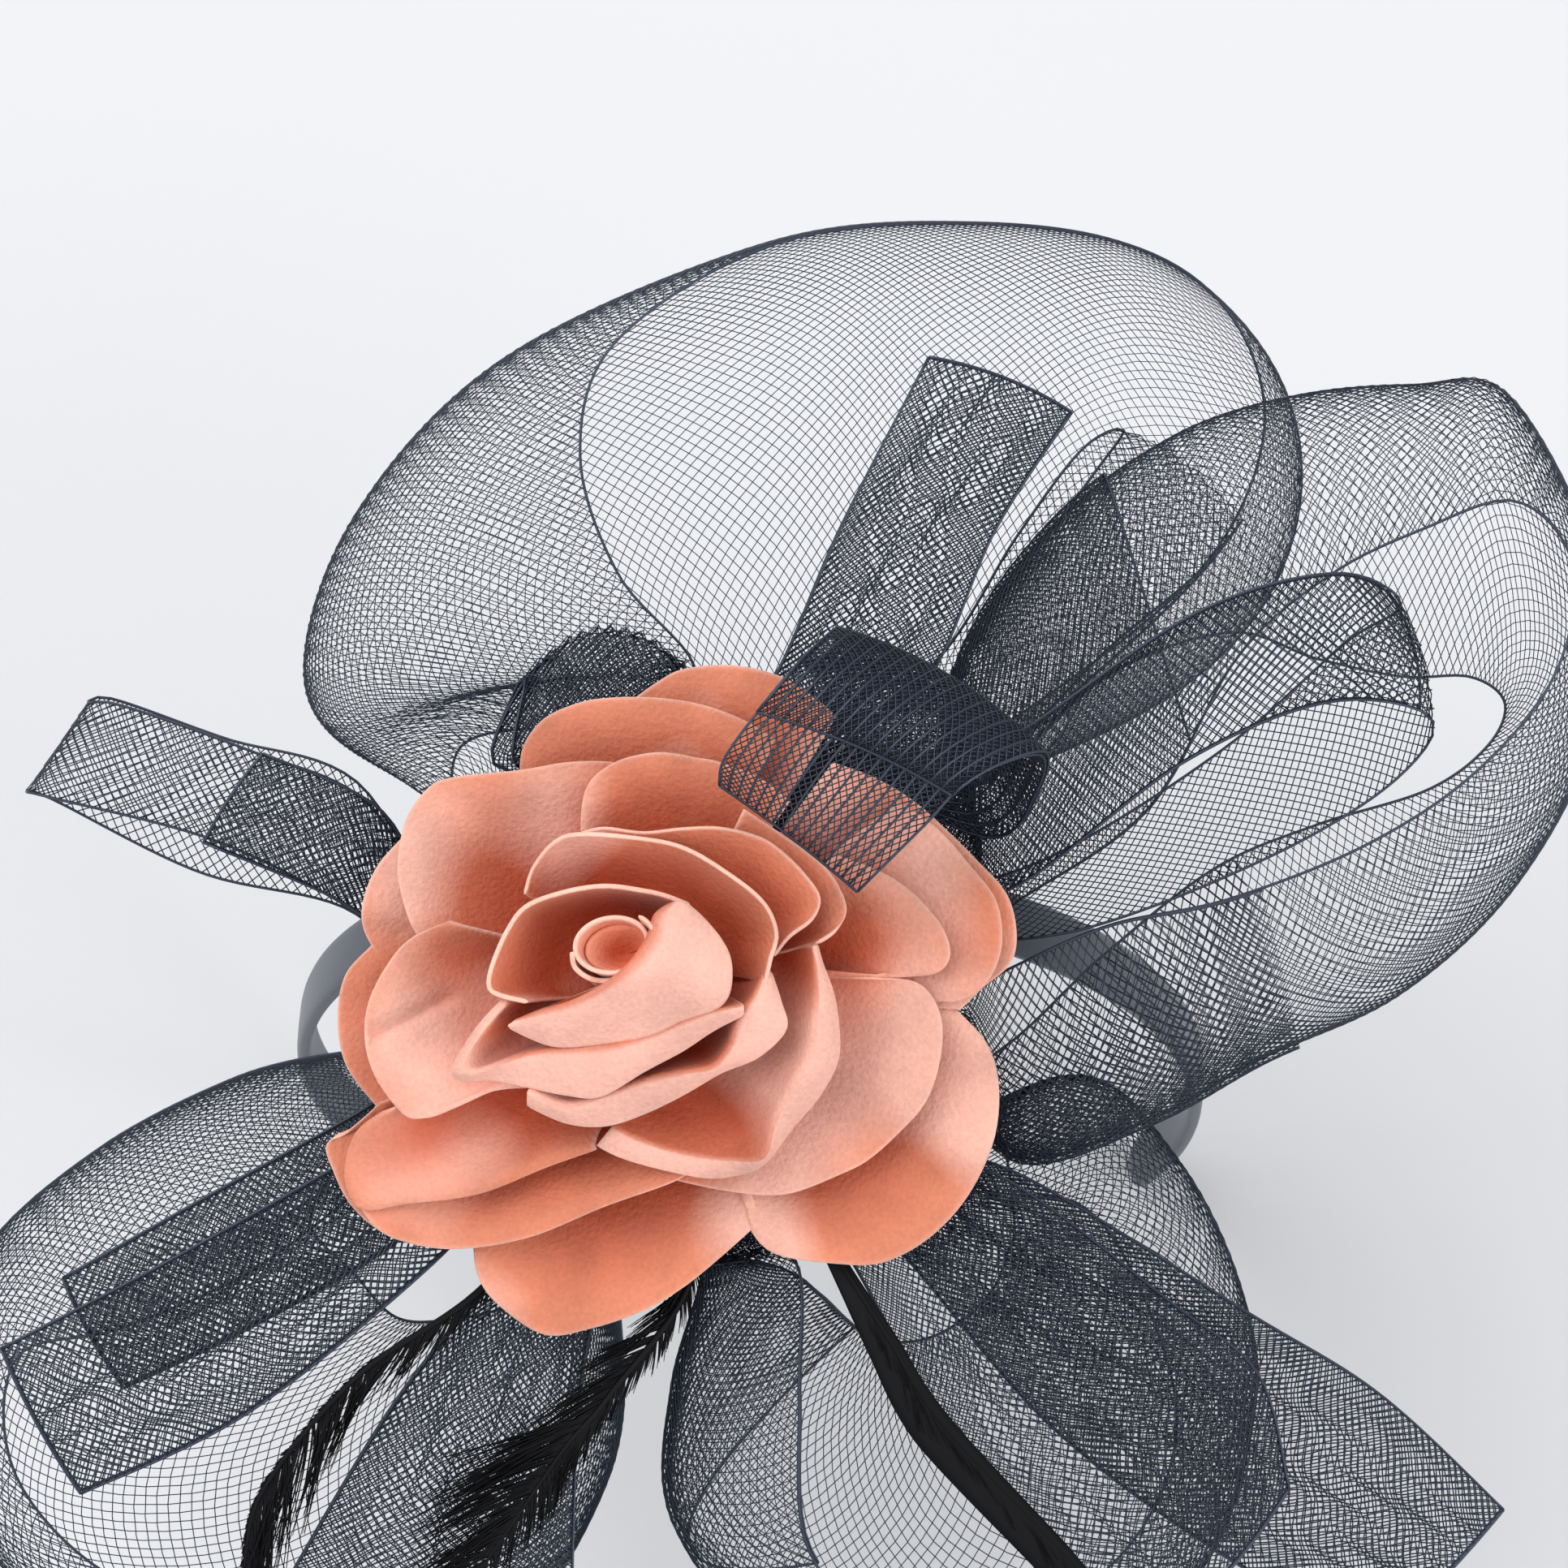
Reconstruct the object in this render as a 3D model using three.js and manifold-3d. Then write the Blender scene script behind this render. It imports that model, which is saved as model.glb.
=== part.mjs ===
// Fascinator: a coral fabric rose, loops and tails of open crin net and three black feathers
// on a small covered base, worn on a satin-covered headband.
// Millimetres, +Z up. The headband stands in the XZ plane and its inside top is the origin.
// The spray is modelled flat on its base: x across, y up the spray, z out towards the viewer.
import * as THREE from "three";
import { mergeVertices } from "three/addons/utils/BufferGeometryUtils.js";
import Module from "manifold-3d";

// Headband
const BAND_WIDTH = 9;
const BAND_THICKNESS = 2.4;
const BAND_SHOULDER_SIDE = 0.8;
const BAND_SHOULDER_UP = 0.4;
const HOOP_WIDTH = 140;
const HOOP_DROP = 125;
const HOOP_END_ANGLE = 115;

// Base under the spray
const BASE_RADIUS = 33;
const BASE_THICKNESS = 2;
const BASE_RISE = 7.5;
const SADDLE_LENGTH = 14;
const SADDLE_WALL = 1.8;
const TUNNEL_CLEARANCE = 0.3;
const TUNNEL_HALF_ANGLE = 15;

// Where the spray sits on the headband
const SPRAY_OFFSET = -8;
const SPRAY_FORWARD = 18;
const SPRAY_PITCH = 22;
const SPRAY_TURN = 3;

// Crin net: one layer, a doubled tail, and how the gathered ends stack on the base
const NET_WALL = 1;
const TAIL_WALL = 2;
const STACK_GAP = 0.4;
const ROOT_INNER = 13;
const ROOT_OUTER = 34;
const STEPS_PER_ROW = 2;

// Rose
const CORE_RADIUS = 7;
const CORE_HEIGHT = 29;
const CORE_TAPER = 0.25;
const COIL_RADIUS = 5.4;
const COIL_HEIGHT = 12;
const COIL_TURNS = 1.35;
const COIL_START_ANGLE = -40;
const COIL_INNER_RADIUS = 0.62;
const COIL_FOOT_RADIUS = 0.8;
const COIL_INNER_HEIGHT = 0.86;
const PETAL_WALL = 1;
const PINWHEEL = 0.9;
const PETAL_CORNER_DROP = 0.2;
const PETAL_FOOT_SPREAD = 0.3;
const PETAL_FULL_SPREAD = 0.625;
const ROSE_HEIGHT = 40;
const LEAN_LEFT = 10;
const LEAN_UP = 7;
const SEAT_GAP = 0.3;

// Feathers
const FEATHER_LENGTH = 100;
const QUILL_RADIUS = 0.8;
const VANE_WALL = 0.8;
const LOCK_NOTCH = 0.72;

// Share of a surface or a spline over which its slope is read
const SLOPE_STEP = 1e-3;

// Materials
const NET_BLACK = { color: 0x23262e, roughness: 0.45, metalness: 0 };
const ROSE_CORAL = { color: 0xe28e73, roughness: 0.7, metalness: 0 };
const FEATHER_BLACK = { color: 0x0c0c0f, roughness: 0.5, metalness: 0 };
const SATIN_SLATE = { color: 0x39404c, roughness: 0.4, metalness: 0 };

const wasm = await Module();
wasm.setup();

const spray = new THREE.Group();
const fascinator = new THREE.Group();

const radians = THREE.MathUtils.degToRad;

function polar(radius, degrees, z) {
  const a = radians(degrees);
  return new THREE.Vector3(radius * Math.cos(a), radius * Math.sin(a), z);
}

function addMesh(group, name, geometry, look) {
  const mesh = new THREE.Mesh(geometry, new THREE.MeshStandardMaterial(look));
  mesh.name = name;
  group.add(mesh);
}

// A closed solid from a row of sections: each section is a closed ring with an even number of
// points, and each end is closed by rungs between the two halves of its ring.
function solidFromRings(rings) {
  const sides = rings[0].length;
  const positions = rings.flat().flatMap((p) => [p.x, p.y, p.z]);
  const index = [];
  for (let i = 0; i + 1 < rings.length; i++)
    for (let j = 0; j < sides; j++) {
      const a = i * sides + j;
      const b = i * sides + ((j + 1) % sides);
      index.push(a, b, a + sides, b, b + sides, a + sides);
    }
  const last = (rings.length - 1) * sides;
  for (let j = 0; j < sides / 2 - 1; j++) {
    const [a, b, c, d] = [j, j + 1, sides - 2 - j, sides - 1 - j];
    index.push(a, c, b, a, d, c);
    index.push(last + a, last + b, last + c, last + a, last + c, last + d);
  }
  const geometry = new THREE.BufferGeometry();
  geometry.setAttribute("position", new THREE.Float32BufferAttribute(positions, 3));
  geometry.setIndex(index);
  geometry.computeVertexNormals();
  return geometry;
}

function slopeSpan(share) {
  return [Math.max(share - SLOPE_STEP, 0), Math.min(share + SLOPE_STEP, 1)];
}

// A sheet with a wall: surface(u, v) for u and v from 0 to 1, thickened half a wall to each side.
function sheetSolid(surface, along, across, wall) {
  const rings = [];
  for (let i = 0; i <= along; i++) {
    const front = [];
    const back = [];
    for (let j = 0; j <= across; j++) {
      const u = i / along;
      const v = j / across;
      const point = surface(u, v);
      const [uBefore, uAfter] = slopeSpan(u);
      const [vBefore, vAfter] = slopeSpan(v);
      const alongU = surface(uAfter, v).sub(surface(uBefore, v));
      const alongV = surface(u, vAfter).sub(surface(u, vBefore));
      const half = alongU.cross(alongV).normalize().multiplyScalar(wall / 2);
      front.push(point.clone().add(half));
      back.push(point.clone().sub(half));
    }
    rings.push([...back, ...front.reverse()]);
  }
  return solidFromRings(rings);
}

// Slope of a spline that never rises or falls past its rows.
function levelSlope(before, after) {
  return before * after > 0 ? (2 * before * after) / (before + after) : 0;
}

// Smooth curve through rows of equal length, read at u from 0 to 1. Every third number is a
// height, and heights do not overshoot, so stacked layers stay apart.
function splineRow(rows, u) {
  const count = rows.length - 1;
  const at = Math.min(Math.floor(u * count), count - 1);
  const t = u * count - at;
  const pick = (k) => rows[Math.max(0, Math.min(count, k))];
  const [a, b, c, d] = [pick(at - 1), pick(at), pick(at + 1), pick(at + 2)];
  return b.map((_, k) => {
    const isHeight = k % 3 === 2;
    const slopeB = isHeight ? levelSlope(b[k] - a[k], c[k] - b[k]) : (c[k] - a[k]) / 2;
    const slopeC = isHeight ? levelSlope(c[k] - b[k], d[k] - c[k]) : (d[k] - b[k]) / 2;
    const t2 = t * t;
    const t3 = t2 * t;
    return (2 * t3 - 3 * t2 + 1) * b[k] + (t3 - 2 * t2 + t) * slopeB
      + (3 * t2 - 2 * t3) * c[k] + (t3 - t2) * slopeC;
  });
}

// Crin net

// Middle height of the gathered end that lies on a level of the stack.
function seat(level, wall) {
  return STACK_GAP + level * (NET_WALL + STACK_GAP) + wall / 2;
}

// Two rows that hold a gathered end flat on the base, between two angles round it.
function rootRows({ near, far, level }, wall) {
  const z = seat(level, wall);
  return [ROOT_INNER, ROOT_OUTER].map((radius) =>
    [near, (near + far) / 2, far].flatMap((angle) => polar(radius, angle, z).toArray()));
}

// A section runs from the near selvedge over the crown to the far selvedge. It is the parabola
// through the three, with the crown placed by the lengths of the two chords and met half way
// across.
function sectionPoint(row, half) {
  const near = new THREE.Vector3(row[0], row[1], row[2]);
  const crown = new THREE.Vector3(row[3], row[4], row[5]);
  const far = new THREE.Vector3(row[6], row[7], row[8]);
  const before = near.distanceTo(crown);
  const middle = before / (before + crown.distanceTo(far));
  const v = half < 0.5 ? 2 * half * middle : middle + (2 * half - 1) * (1 - middle);
  const nearPart = ((v - middle) * (v - 1)) / middle;
  const crownPart = (v * (v - 1)) / (middle * (middle - 1));
  const farPart = (v * (v - middle)) / (1 - middle);
  return near.multiplyScalar(nearPart).addScaledVector(crown, crownPart).addScaledVector(far, farPart);
}

// Each row of a piece: near selvedge x y z, crown x y z, far selvedge x y z, in hundredths of its
// reach. A loop has a gathered end at both ends, a tail at its start only.
const CRIN = [
  {
    name: "crin_halo", reach: 103, wall: NET_WALL, across: 4,
    start: { near: 92, far: 158, level: 0 },
    rows: [
      [1, 42, 1, -37, 27, -3, -31, 22, -3],
      [-9, 54, 0, -50, 38, -9, -30, 32, -14],
      [-14, 70, -1, -46, 60, -13, -16, 34, -20],
      [-9, 85, -2, -26, 83, -15, -4, 32, -16],
      [12, 98, -5, 10, 99, -15, 12, 30, -14],
      [38, 101, -8, 38, 102, -16, 30, 30, -17],
      [60, 98, -10, 62, 98, -18, 46, 34, -26],
      [73, 89, -13, 80, 82, -20, 52, 36, -29],
      [78, 74, -20, 82, 62, -26, 50, 32, -29],
      [70, 56, -24, 66, 43, -27, 46, 29, -25],
      [48, 38, -20, 46, 33, -20, 40, 27, -18],
      [34, 31, -8, 35, 28, -9, 35, 25, -9],
    ],
    end: { near: 60, far: 48, level: 0 },
  },
  {
    name: "crin_back_loop", reach: 100, wall: NET_WALL, across: 2,
    start: { near: 61, far: 47, level: 2 },
    rows: [
      [34, 44, -4, 39, 38, -5.5, 43, 32, -7],
      [45, 61, -6, 52, 54, -8, 58, 46, -11],
      [54, 73, -8, 62, 66, -10, 70, 56, -13],
      [60, 76, -11, 69, 72, -13, 77, 64, -16],
      [56, 70, -15, 63, 63, -17, 70, 55, -20],
      [44, 54, -13, 50, 49, -15, 56, 42, -18],
      [34, 40, -7, 38, 36, -8, 42, 31, -10],
    ],
    end: { near: 61, far: 47, level: 1 },
  },
  {
    name: "crin_small_loop", reach: 45, wall: NET_WALL, across: 2,
    start: { near: 128, far: 100, level: 1 },
    rows: [
      [-58, 69, 8, -33, 82, 8, -7, 89, 8],
      [-47, 93, 13, -21, 108, 13, 0, 96, 13],
      [-51, 69, 18, -29, 80, 18, -7, 80, 18],
    ],
    end: { near: 126, far: 104, level: 2 },
  },
  {
    name: "crin_left_loop", reach: 90, wall: NET_WALL, across: 2,
    start: { near: 161, far: 176, level: 0 },
    rows: [
      [-50, 31, 1, -51, 22, 1, -52, 12, 1],
      [-69, 37, 1, -71, 27, 1, -73, 17, 1],
      [-86, 43, 2, -91, 35, 1, -95, 28, 2],
      [-89, 42, 6, -93, 36, 6, -98, 29, 6],
      [-84, 42, 9, -89, 35, 10, -93, 28, 9],
      [-64, 35, 9, -67, 28, 10, -70, 22, 9],
      [-48, 28, 6, -50, 21, 6, -52, 13, 6],
    ],
    end: { near: 162, far: 175, level: 1 },
  },
  {
    name: "crin_left_tail", reach: 65, wall: NET_WALL, across: 2,
    start: { near: 161, far: 174, level: 2 },
    rows: [
      [-63, 37, 12, -68, 28, 12, -71, 18, 12],
      [-86, 48, 17, -92, 40, 18, -98, 30, 17],
    ],
  },
  {
    name: "crin_right_loop", reach: 120, wall: NET_WALL, across: 4,
    start: { near: 8, far: 43, level: 0 },
    rows: [
      [38, 10, 1, 31, 36, -1, 34, 23, -2],
      [52, 20, 1, 42, 52, -1, 48, 35, -7],
      [62, 37, 1, 55, 62, 0, 62, 40, -8],
      [72, 46, 3, 68, 66, 1, 72, 37, -8],
      [82, 51, 6, 82, 67, 1, 82, 35, -10],
      [92, 54, 8, 93, 66, 0, 90, 35, -11],
      [98, 47, 10, 103, 47, -2, 94, 32, -11],
      [96, 35, 11, 102, 28, -2, 92, 27, -11],
      [87, 24, 12, 93, 11, 1, 85, 22, -10],
      [75, 16, 12, 80, -1, 2, 72, 18, -8],
      [60, 10, 11, 65, -8, 2, 60, 13, -6],
      [47, 7, 8, 52, -15, 2, 47, 3, -4],
      [36, 2, 5, 37, -19, 1, 36, -7, -2],
    ],
    end: { near: 355, far: 336, level: 0 },
  },
  {
    name: "crin_inner_loop", reach: 100, wall: NET_WALL, across: 2,
    start: { near: 40, far: 26, level: 1 },
    rows: [
      [46, 35, 9, 45, 24, 9, 43, 13, 8],
      [68, 50, 12, 67, 40, 13, 66, 30, 12],
      [86, 55, 14, 86, 47, 15, 85, 38, 14],
      [95, 51, 12, 98, 44, 12, 99, 36, 11],
      [88, 46, 8, 92, 37, 8, 95, 28, 8],
      [72, 32, 8, 75, 25, 8, 79, 18, 8],
      [50, 18, 6, 52, 13, 6, 54, 8, 6],
    ],
    end: { near: 20, far: 9, level: 1 },
  },
  {
    name: "crin_lower_left_loop", reach: 100, wall: NET_WALL, across: 4,
    start: { near: 206, far: 186, level: 0 },
    rows: [
      [-40, -24, 1, -45, -9, -1, -40, -14, -4],
      [-58, -38, 2, -62, -13, -6, -46, -22, -9],
      [-76, -46, 3, -82, -24, -8, -50, -28, -11],
      [-90, -50, 3, -99, -42, -9, -52, -34, -12],
      [-90, -66, 3, -102, -62, -9, -46, -40, -10],
      [-76, -80, 3, -90, -84, -9, -40, -46, -9],
      [-54, -84, 3, -60, -97, -8, -32, -46, -7],
      [-32, -78, 2, -30, -92, -6, -24, -44, -5],
      [-18, -62, 2, -12, -68, -4, -18, -42, -3],
      [-15, -44, 1, -9, -44, -1, -13, -40, -2],
    ],
    end: { near: 243, far: 256, level: 0 },
  },
  {
    name: "crin_bottom_loop", reach: 95, wall: NET_WALL, across: 4,
    start: { near: 286, far: 264, level: 0 },
    rows: [
      [16, -40, 4, 2, -42, 2, 13, -40, 0],
      [16, -58, 7, -2, -58, 1, 19, -44, -1],
      [17, -78, 8, -1, -78, -1, 23, -48, -3],
      [27, -88, 6, 15, -95, -3, 27, -51, -4],
      [46, -91, 2, 42, -100, -5, 34, -51, -5],
      [63, -80, -1, 70, -86, -6, 40, -48, -6],
      [70, -63, -2, 80, -63, -7, 44, -44, -7],
      [65, -44, -2, 79, -44, -7, 46, -39, -7],
      [57, -32, -3, 70, -25, -6, 47, -34, -7],
      [46, -30, -3, 56, -13, -5, 44, -21, -7],
    ],
    end: { near: 312, far: 331, level: 0 },
  },
  {
    name: "crin_top_curl", reach: 50, wall: NET_WALL, across: 4,
    start: { near: 62, far: 46, level: 3 },
    rows: [
      [34, 80, 24, 60, 64, 22, 82, 40, 20],
      [40, 92, 44, 70, 76, 42, 92, 52, 40],
      [38, 92, 64, 68, 80, 64, 92, 62, 60],
      [26, 80, 76, 52, 70, 78, 74, 56, 76],
      [12, 62, 74, 38, 54, 75, 62, 44, 74],
      [10, 54, 70, 28, 41, 71, 45, 27, 71],
    ],
  },
  {
    name: "crin_tail_top", reach: 90, wall: TAIL_WALL, across: 2,
    start: { near: 88, far: 68, level: 0 },
    rows: [
      [12, 44, 6, 23, 44, 6, 34, 43, 6],
      [23, 68, 10, 35, 69, 10, 46, 68, 10],
      [36, 93, 13, 47, 90, 13, 57, 85, 12],
    ],
  },
  {
    name: "crin_tail_lower_right", reach: 100, wall: TAIL_WALL, across: 2,
    start: { near: 298, far: 320, level: 2.6 },
    rows: [
      [22, -36, 8, 32, -31, 8, 42, -25, 8],
      [36, -61, 11, 50, -53, 11, 65, -42, 10],
      [47, -75, 12, 62, -66, 12, 76, -51, 12],
      [60, -88, 12, 71, -78, 12, 80, -66, 12],
    ],
  },
  {
    name: "crin_tail_far_right", reach: 110, wall: TAIL_WALL, across: 2,
    start: { near: 302, far: 324, level: 1 },
    rows: [
      [25, -31, 4, 34, -27, 4, 41, -23, 4],
      [44, -53, 4, 56, -47, 4, 69, -40, 4],
      [65, -69, 3, 76, -60, 3, 85, -50, 3],
      [85, -80, 2, 93, -72, 2, 100, -64, 2],
    ],
  },
  {
    name: "crin_tail_upper_left", reach: 90, wall: TAIL_WALL, across: 2,
    start: { near: 197, far: 217, level: 1 },
    rows: [
      [-49, -19, 6, -46, -29, 7, -42, -37, 6],
      [-69, -30, 8, -67, -40, 9, -64, -50, 8],
      [-92, -43, 9, -88, -51, 10, -83, -59, 9],
    ],
  },
  {
    name: "crin_tail_lower_left", reach: 95, wall: TAIL_WALL, across: 2,
    start: { near: 205, far: 227, level: 2.8 },
    rows: [
      [-47, -24, 10, -42, -32, 11, -36, -39, 10],
      [-72, -38, 12, -67, -49, 13, -61, -59, 12],
      [-95, -50, 13, -90, -60, 14, -84, -70, 13],
    ],
  },
  {
    name: "crin_tail_bottom", reach: 90, wall: TAIL_WALL, across: 2,
    start: { near: 233, far: 251, level: 1 },
    rows: [
      [-27, -41, 5, -20, -43, 6, -13, -44, 5],
      [-44, -63, 7, -30, -64, 8, -16, -64, 7],
      [-63, -95, 7, -40, -98, 8, -17, -97, 7],
    ],
  },
];

function crinPiece({ name, reach, wall, across, start, rows, end }) {
  const scaled = rows.map((row) => row.map((share) => (share * reach) / 100));
  const sections = [...rootRows(start, wall), ...scaled];
  if (end) sections.push(...rootRows(end, wall).reverse());
  const along = STEPS_PER_ROW * (sections.length - 1);
  const surface = (u, v) => sectionPoint(splineRow(sections, u), v);
  addMesh(spray, name, sheetSolid(surface, along, across, wall), NET_BLACK);
}

// Rose

// The rose leans to the upper left, more and more towards its top.
function lean(point) {
  const share = (point.z / ROSE_HEIGHT) ** 2;
  return point.add(new THREE.Vector3(-LEAN_LEFT * share, LEAN_UP * share, 0));
}

function coreRadius(z) {
  return CORE_RADIUS * (1 - (CORE_TAPER * z) / CORE_HEIGHT);
}

function addCore() {
  const rings = [];
  const levels = 8;
  const sides = 16;
  for (let i = 0; i <= levels; i++) {
    const z = SEAT_GAP + ((CORE_HEIGHT - SEAT_GAP) * i) / levels;
    rings.push(Array.from({ length: sides }, (_, j) =>
      lean(polar(coreRadius(z), (360 * j) / sides, z))));
  }
  addMesh(spray, "rose_core", solidFromRings(rings), ROSE_CORAL);
}

// The heart: a strip rolled into an open spiral that stands on the core.
function addCoil() {
  const lerp = THREE.MathUtils.lerp;
  const seatHeight = CORE_HEIGHT + SEAT_GAP + PETAL_WALL / 2;
  const surface = (u, v) => {
    const radius = COIL_RADIUS * lerp(COIL_INNER_RADIUS, 1, u) * lerp(COIL_FOOT_RADIUS, 1, v);
    const z = seatHeight + COIL_HEIGHT * v * lerp(COIL_INNER_HEIGHT, 1, u);
    return lean(polar(radius, COIL_START_ANGLE + 360 * COIL_TURNS * u, z));
  };
  addMesh(spray, "rose_coil", sheetSolid(surface, 20, 2, PETAL_WALL), ROSE_CORAL);
}

// Layers of petals from the outside in. Foot height, lip radius and lip height are lengths. The
// bend is where the cup turns up: its radius is a share of the lip's, and its height a share of
// the way from foot to lip. Each petal: angle round the rose, half its spread, and its length as
// a share of the layer's.
const LAYERS = [
  {
    foot: 10.5, lipRadius: 45, lipHeight: 17, bendOut: 0.6, bendUp: -0.1,
    petals: [
      [256, 38, 1.05], [322, 38, 1.05], [22, 38, 1.03],
      [80, 38, 0.94], [137, 36, 0.88], [190, 38, 0.97],
    ],
  },
  {
    foot: 13.1, lipRadius: 40, lipHeight: 22, bendOut: 0.6, bendUp: 0,
    petals: [[232, 42, 1.14], [300, 42, 0.86], [8, 44, 0.96], [92, 46, 0.9], [160, 42, 0.96]],
  },
  {
    foot: 15.7, lipRadius: 37, lipHeight: 26, bendOut: 0.62, bendUp: 0,
    petals: [[208, 44, 1.2], [318, 50, 1.02], [35, 46, 0.86], [128, 46, 0.96]],
  },
  {
    foot: 18.3, lipRadius: 31, lipHeight: 30, bendOut: 0.68, bendUp: 0,
    petals: [[185, 46, 1.14], [300, 56, 0.97], [68, 58, 0.92]],
  },
  {
    foot: 20.9, lipRadius: 24, lipHeight: 33.5, bendOut: 0.75, bendUp: 0.03,
    petals: [[222, 58, 1], [314, 58, 0.92], [40, 54, 1.02]],
  },
  {
    foot: 23.5, lipRadius: 18.5, lipHeight: 36.5, bendOut: 0.85, bendUp: 0.06,
    petals: [[80, 80, 1], [240, 74, 0.94]],
  },
  {
    foot: 26.1, lipRadius: 13.5, lipHeight: 40, bendOut: 0.95, bendUp: 0.1,
    petals: [[160, 92, 1], [325, 84, 1.08]],
  },
];

// A petal stands on the core, narrow at its foot, and is skewed so that one side passes over the
// petal before it and the other side under the next.
function petalSurface(layer, [angle, spread, length]) {
  const foot = new THREE.Vector2(coreRadius(layer.foot) + SEAT_GAP, layer.foot);
  const lip = new THREE.Vector2(layer.lipRadius, layer.lipHeight);
  const bend = new THREE.Vector2(layer.lipRadius * layer.bendOut,
    layer.foot + (layer.lipHeight - layer.foot) * layer.bendUp);
  return (u, v) => {
    const side = 2 * v - 1;
    const reach = u * length * (1 - PETAL_CORNER_DROP * side ** 4);
    const rest = 1 - reach;
    const profile = foot.clone().multiplyScalar(rest * rest)
      .addScaledVector(bend, 2 * reach * rest).addScaledVector(lip, reach * reach);
    const slope = bend.clone().sub(foot).multiplyScalar(rest)
      .addScaledVector(lip.clone().sub(bend), reach).normalize();
    const spreadOut = Math.min(1, u / PETAL_FULL_SPREAD);
    const offset = PINWHEEL * side * spreadOut;
    const radius = profile.x - slope.y * offset;
    const z = profile.y + slope.x * offset;
    const narrow = THREE.MathUtils.lerp(PETAL_FOOT_SPREAD, 1, spreadOut);
    return lean(polar(radius, angle + spread * side * narrow, z));
  };
}

function addPetals() {
  const surfaces = LAYERS.flatMap((layer) => layer.petals.map((petal) => petalSurface(layer, petal)));
  surfaces.forEach((surface, i) => {
    const name = `rose_petal_${String(i + 1).padStart(2, "0")}`;
    addMesh(spray, name, sheetSolid(surface, 5, 6, PETAL_WALL), ROSE_CORAL);
  });
}

// Feathers

// Each row of a feather: quill x y z, then the vane's reach to the left and right of it, in
// hundredths of its length.
const FEATHERS = [
  {
    name: "feather_left", length: FEATHER_LENGTH, locks: 12,
    rows: [
      [-11, -18, 5, 1, 1],
      [-26, -39, 8, 1, 2],
      [-43, -51, 11, 1, 9],
      [-55, -65, 12, 1, 13],
      [-58, -74, 12, 1, 12],
      [-58, -88, 12, 1, 2],
    ],
  },
  {
    name: "feather_middle", length: FEATHER_LENGTH, locks: 12,
    rows: [
      [-1, -20, 2.5, 1, 1],
      [1, -38, 8, 3, 1],
      [-10, -54, 11, 8, 4],
      [-16, -61, 12, 11, 5],
      [-25, -74, 12, 12, 4],
      [-32, -89, 12, 2, 1],
    ],
  },
  {
    name: "feather_right", length: FEATHER_LENGTH, locks: 10,
    rows: [
      [10, -18, 7.2, 1, 1],
      [20, -35, 11, 1, 1],
      [27, -46, 13, 4, 1],
      [34, -57, 14, 6, 1],
      [50, -74, 15, 8, 1],
      [60, -86, 15, 1, 1],
    ],
  },
];

function featherPiece({ name, length, locks, rows }) {
  const scaled = rows.map((row) => row.map((share) => (share * length) / 100));
  const along = locks * 2;
  const rings = [];
  for (let i = 0; i <= along; i++) {
    const u = i / along;
    const [x, y, z, left, right] = splineRow(scaled, u);
    const [before, after] = slopeSpan(u).map((share) => splineRow(scaled, share));
    const run = new THREE.Vector2(after[0] - before[0], after[1] - before[1]).normalize();
    const notch = i % 2 ? 1 : LOCK_NOTCH;
    const at = (aside, up) => new THREE.Vector3(x + run.y * aside, y - run.x * aside, z + up);
    const leftEdge = QUILL_RADIUS + left * notch;
    const rightEdge = QUILL_RADIUS + right * notch;
    rings.push([
      at(leftEdge, -VANE_WALL / 2),
      at(0, -QUILL_RADIUS),
      at(-rightEdge, -VANE_WALL / 2),
      at(-rightEdge, VANE_WALL / 2),
      at(0, QUILL_RADIUS),
      at(leftEdge, VANE_WALL / 2),
    ]);
  }
  addMesh(spray, name, solidFromRings(rings), FEATHER_BLACK);
}

// Headband and base

const hoopRadius = (HOOP_WIDTH - BAND_THICKNESS) / 2;

// Middle of the band's wall at an angle from the top: part of an ellipse in the XZ plane.
function hoopPoint(degrees) {
  const down = HOOP_DROP / (1 - Math.cos(radians(HOOP_END_ANGLE)));
  const a = radians(degrees);
  return new THREE.Vector3(hoopRadius * Math.sin(a), 0, BAND_THICKNESS / 2 + down * (Math.cos(a) - 1));
}

// A length of the band between two angles, rounded along its outer edges, grown by a clearance.
function bandSolid(from, to, steps, grow) {
  const rings = [];
  const halfWidth = BAND_WIDTH / 2 + grow;
  const halfWall = BAND_THICKNESS / 2 + grow;
  for (let i = 0; i <= steps; i++) {
    const angle = from + ((to - from) * i) / steps;
    const run = hoopPoint(angle + 0.1).sub(hoopPoint(angle - 0.1)).normalize();
    const out = new THREE.Vector3(-run.z, 0, run.x);
    const corner = (side, up) => hoopPoint(angle).addScaledVector(out, halfWall * up)
      .add(new THREE.Vector3(0, halfWidth * side, 0));
    rings.push([
      corner(1, BAND_SHOULDER_UP),
      corner(BAND_SHOULDER_SIDE, 1),
      corner(-BAND_SHOULDER_SIDE, 1),
      corner(-1, BAND_SHOULDER_UP),
      corner(-1, -1),
      corner(1, -1),
    ]);
  }
  return solidFromRings(rings);
}

function toManifold(geometry) {
  const bare = geometry.clone();
  bare.deleteAttribute("normal");
  bare.deleteAttribute("uv");
  const merged = mergeVertices(bare, 1e-4);
  return new wasm.Manifold(new wasm.Mesh({
    numProp: 3,
    vertProperties: new Float32Array(merged.attributes.position.array),
    triVerts: new Uint32Array(merged.index.array),
  }));
}

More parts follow.
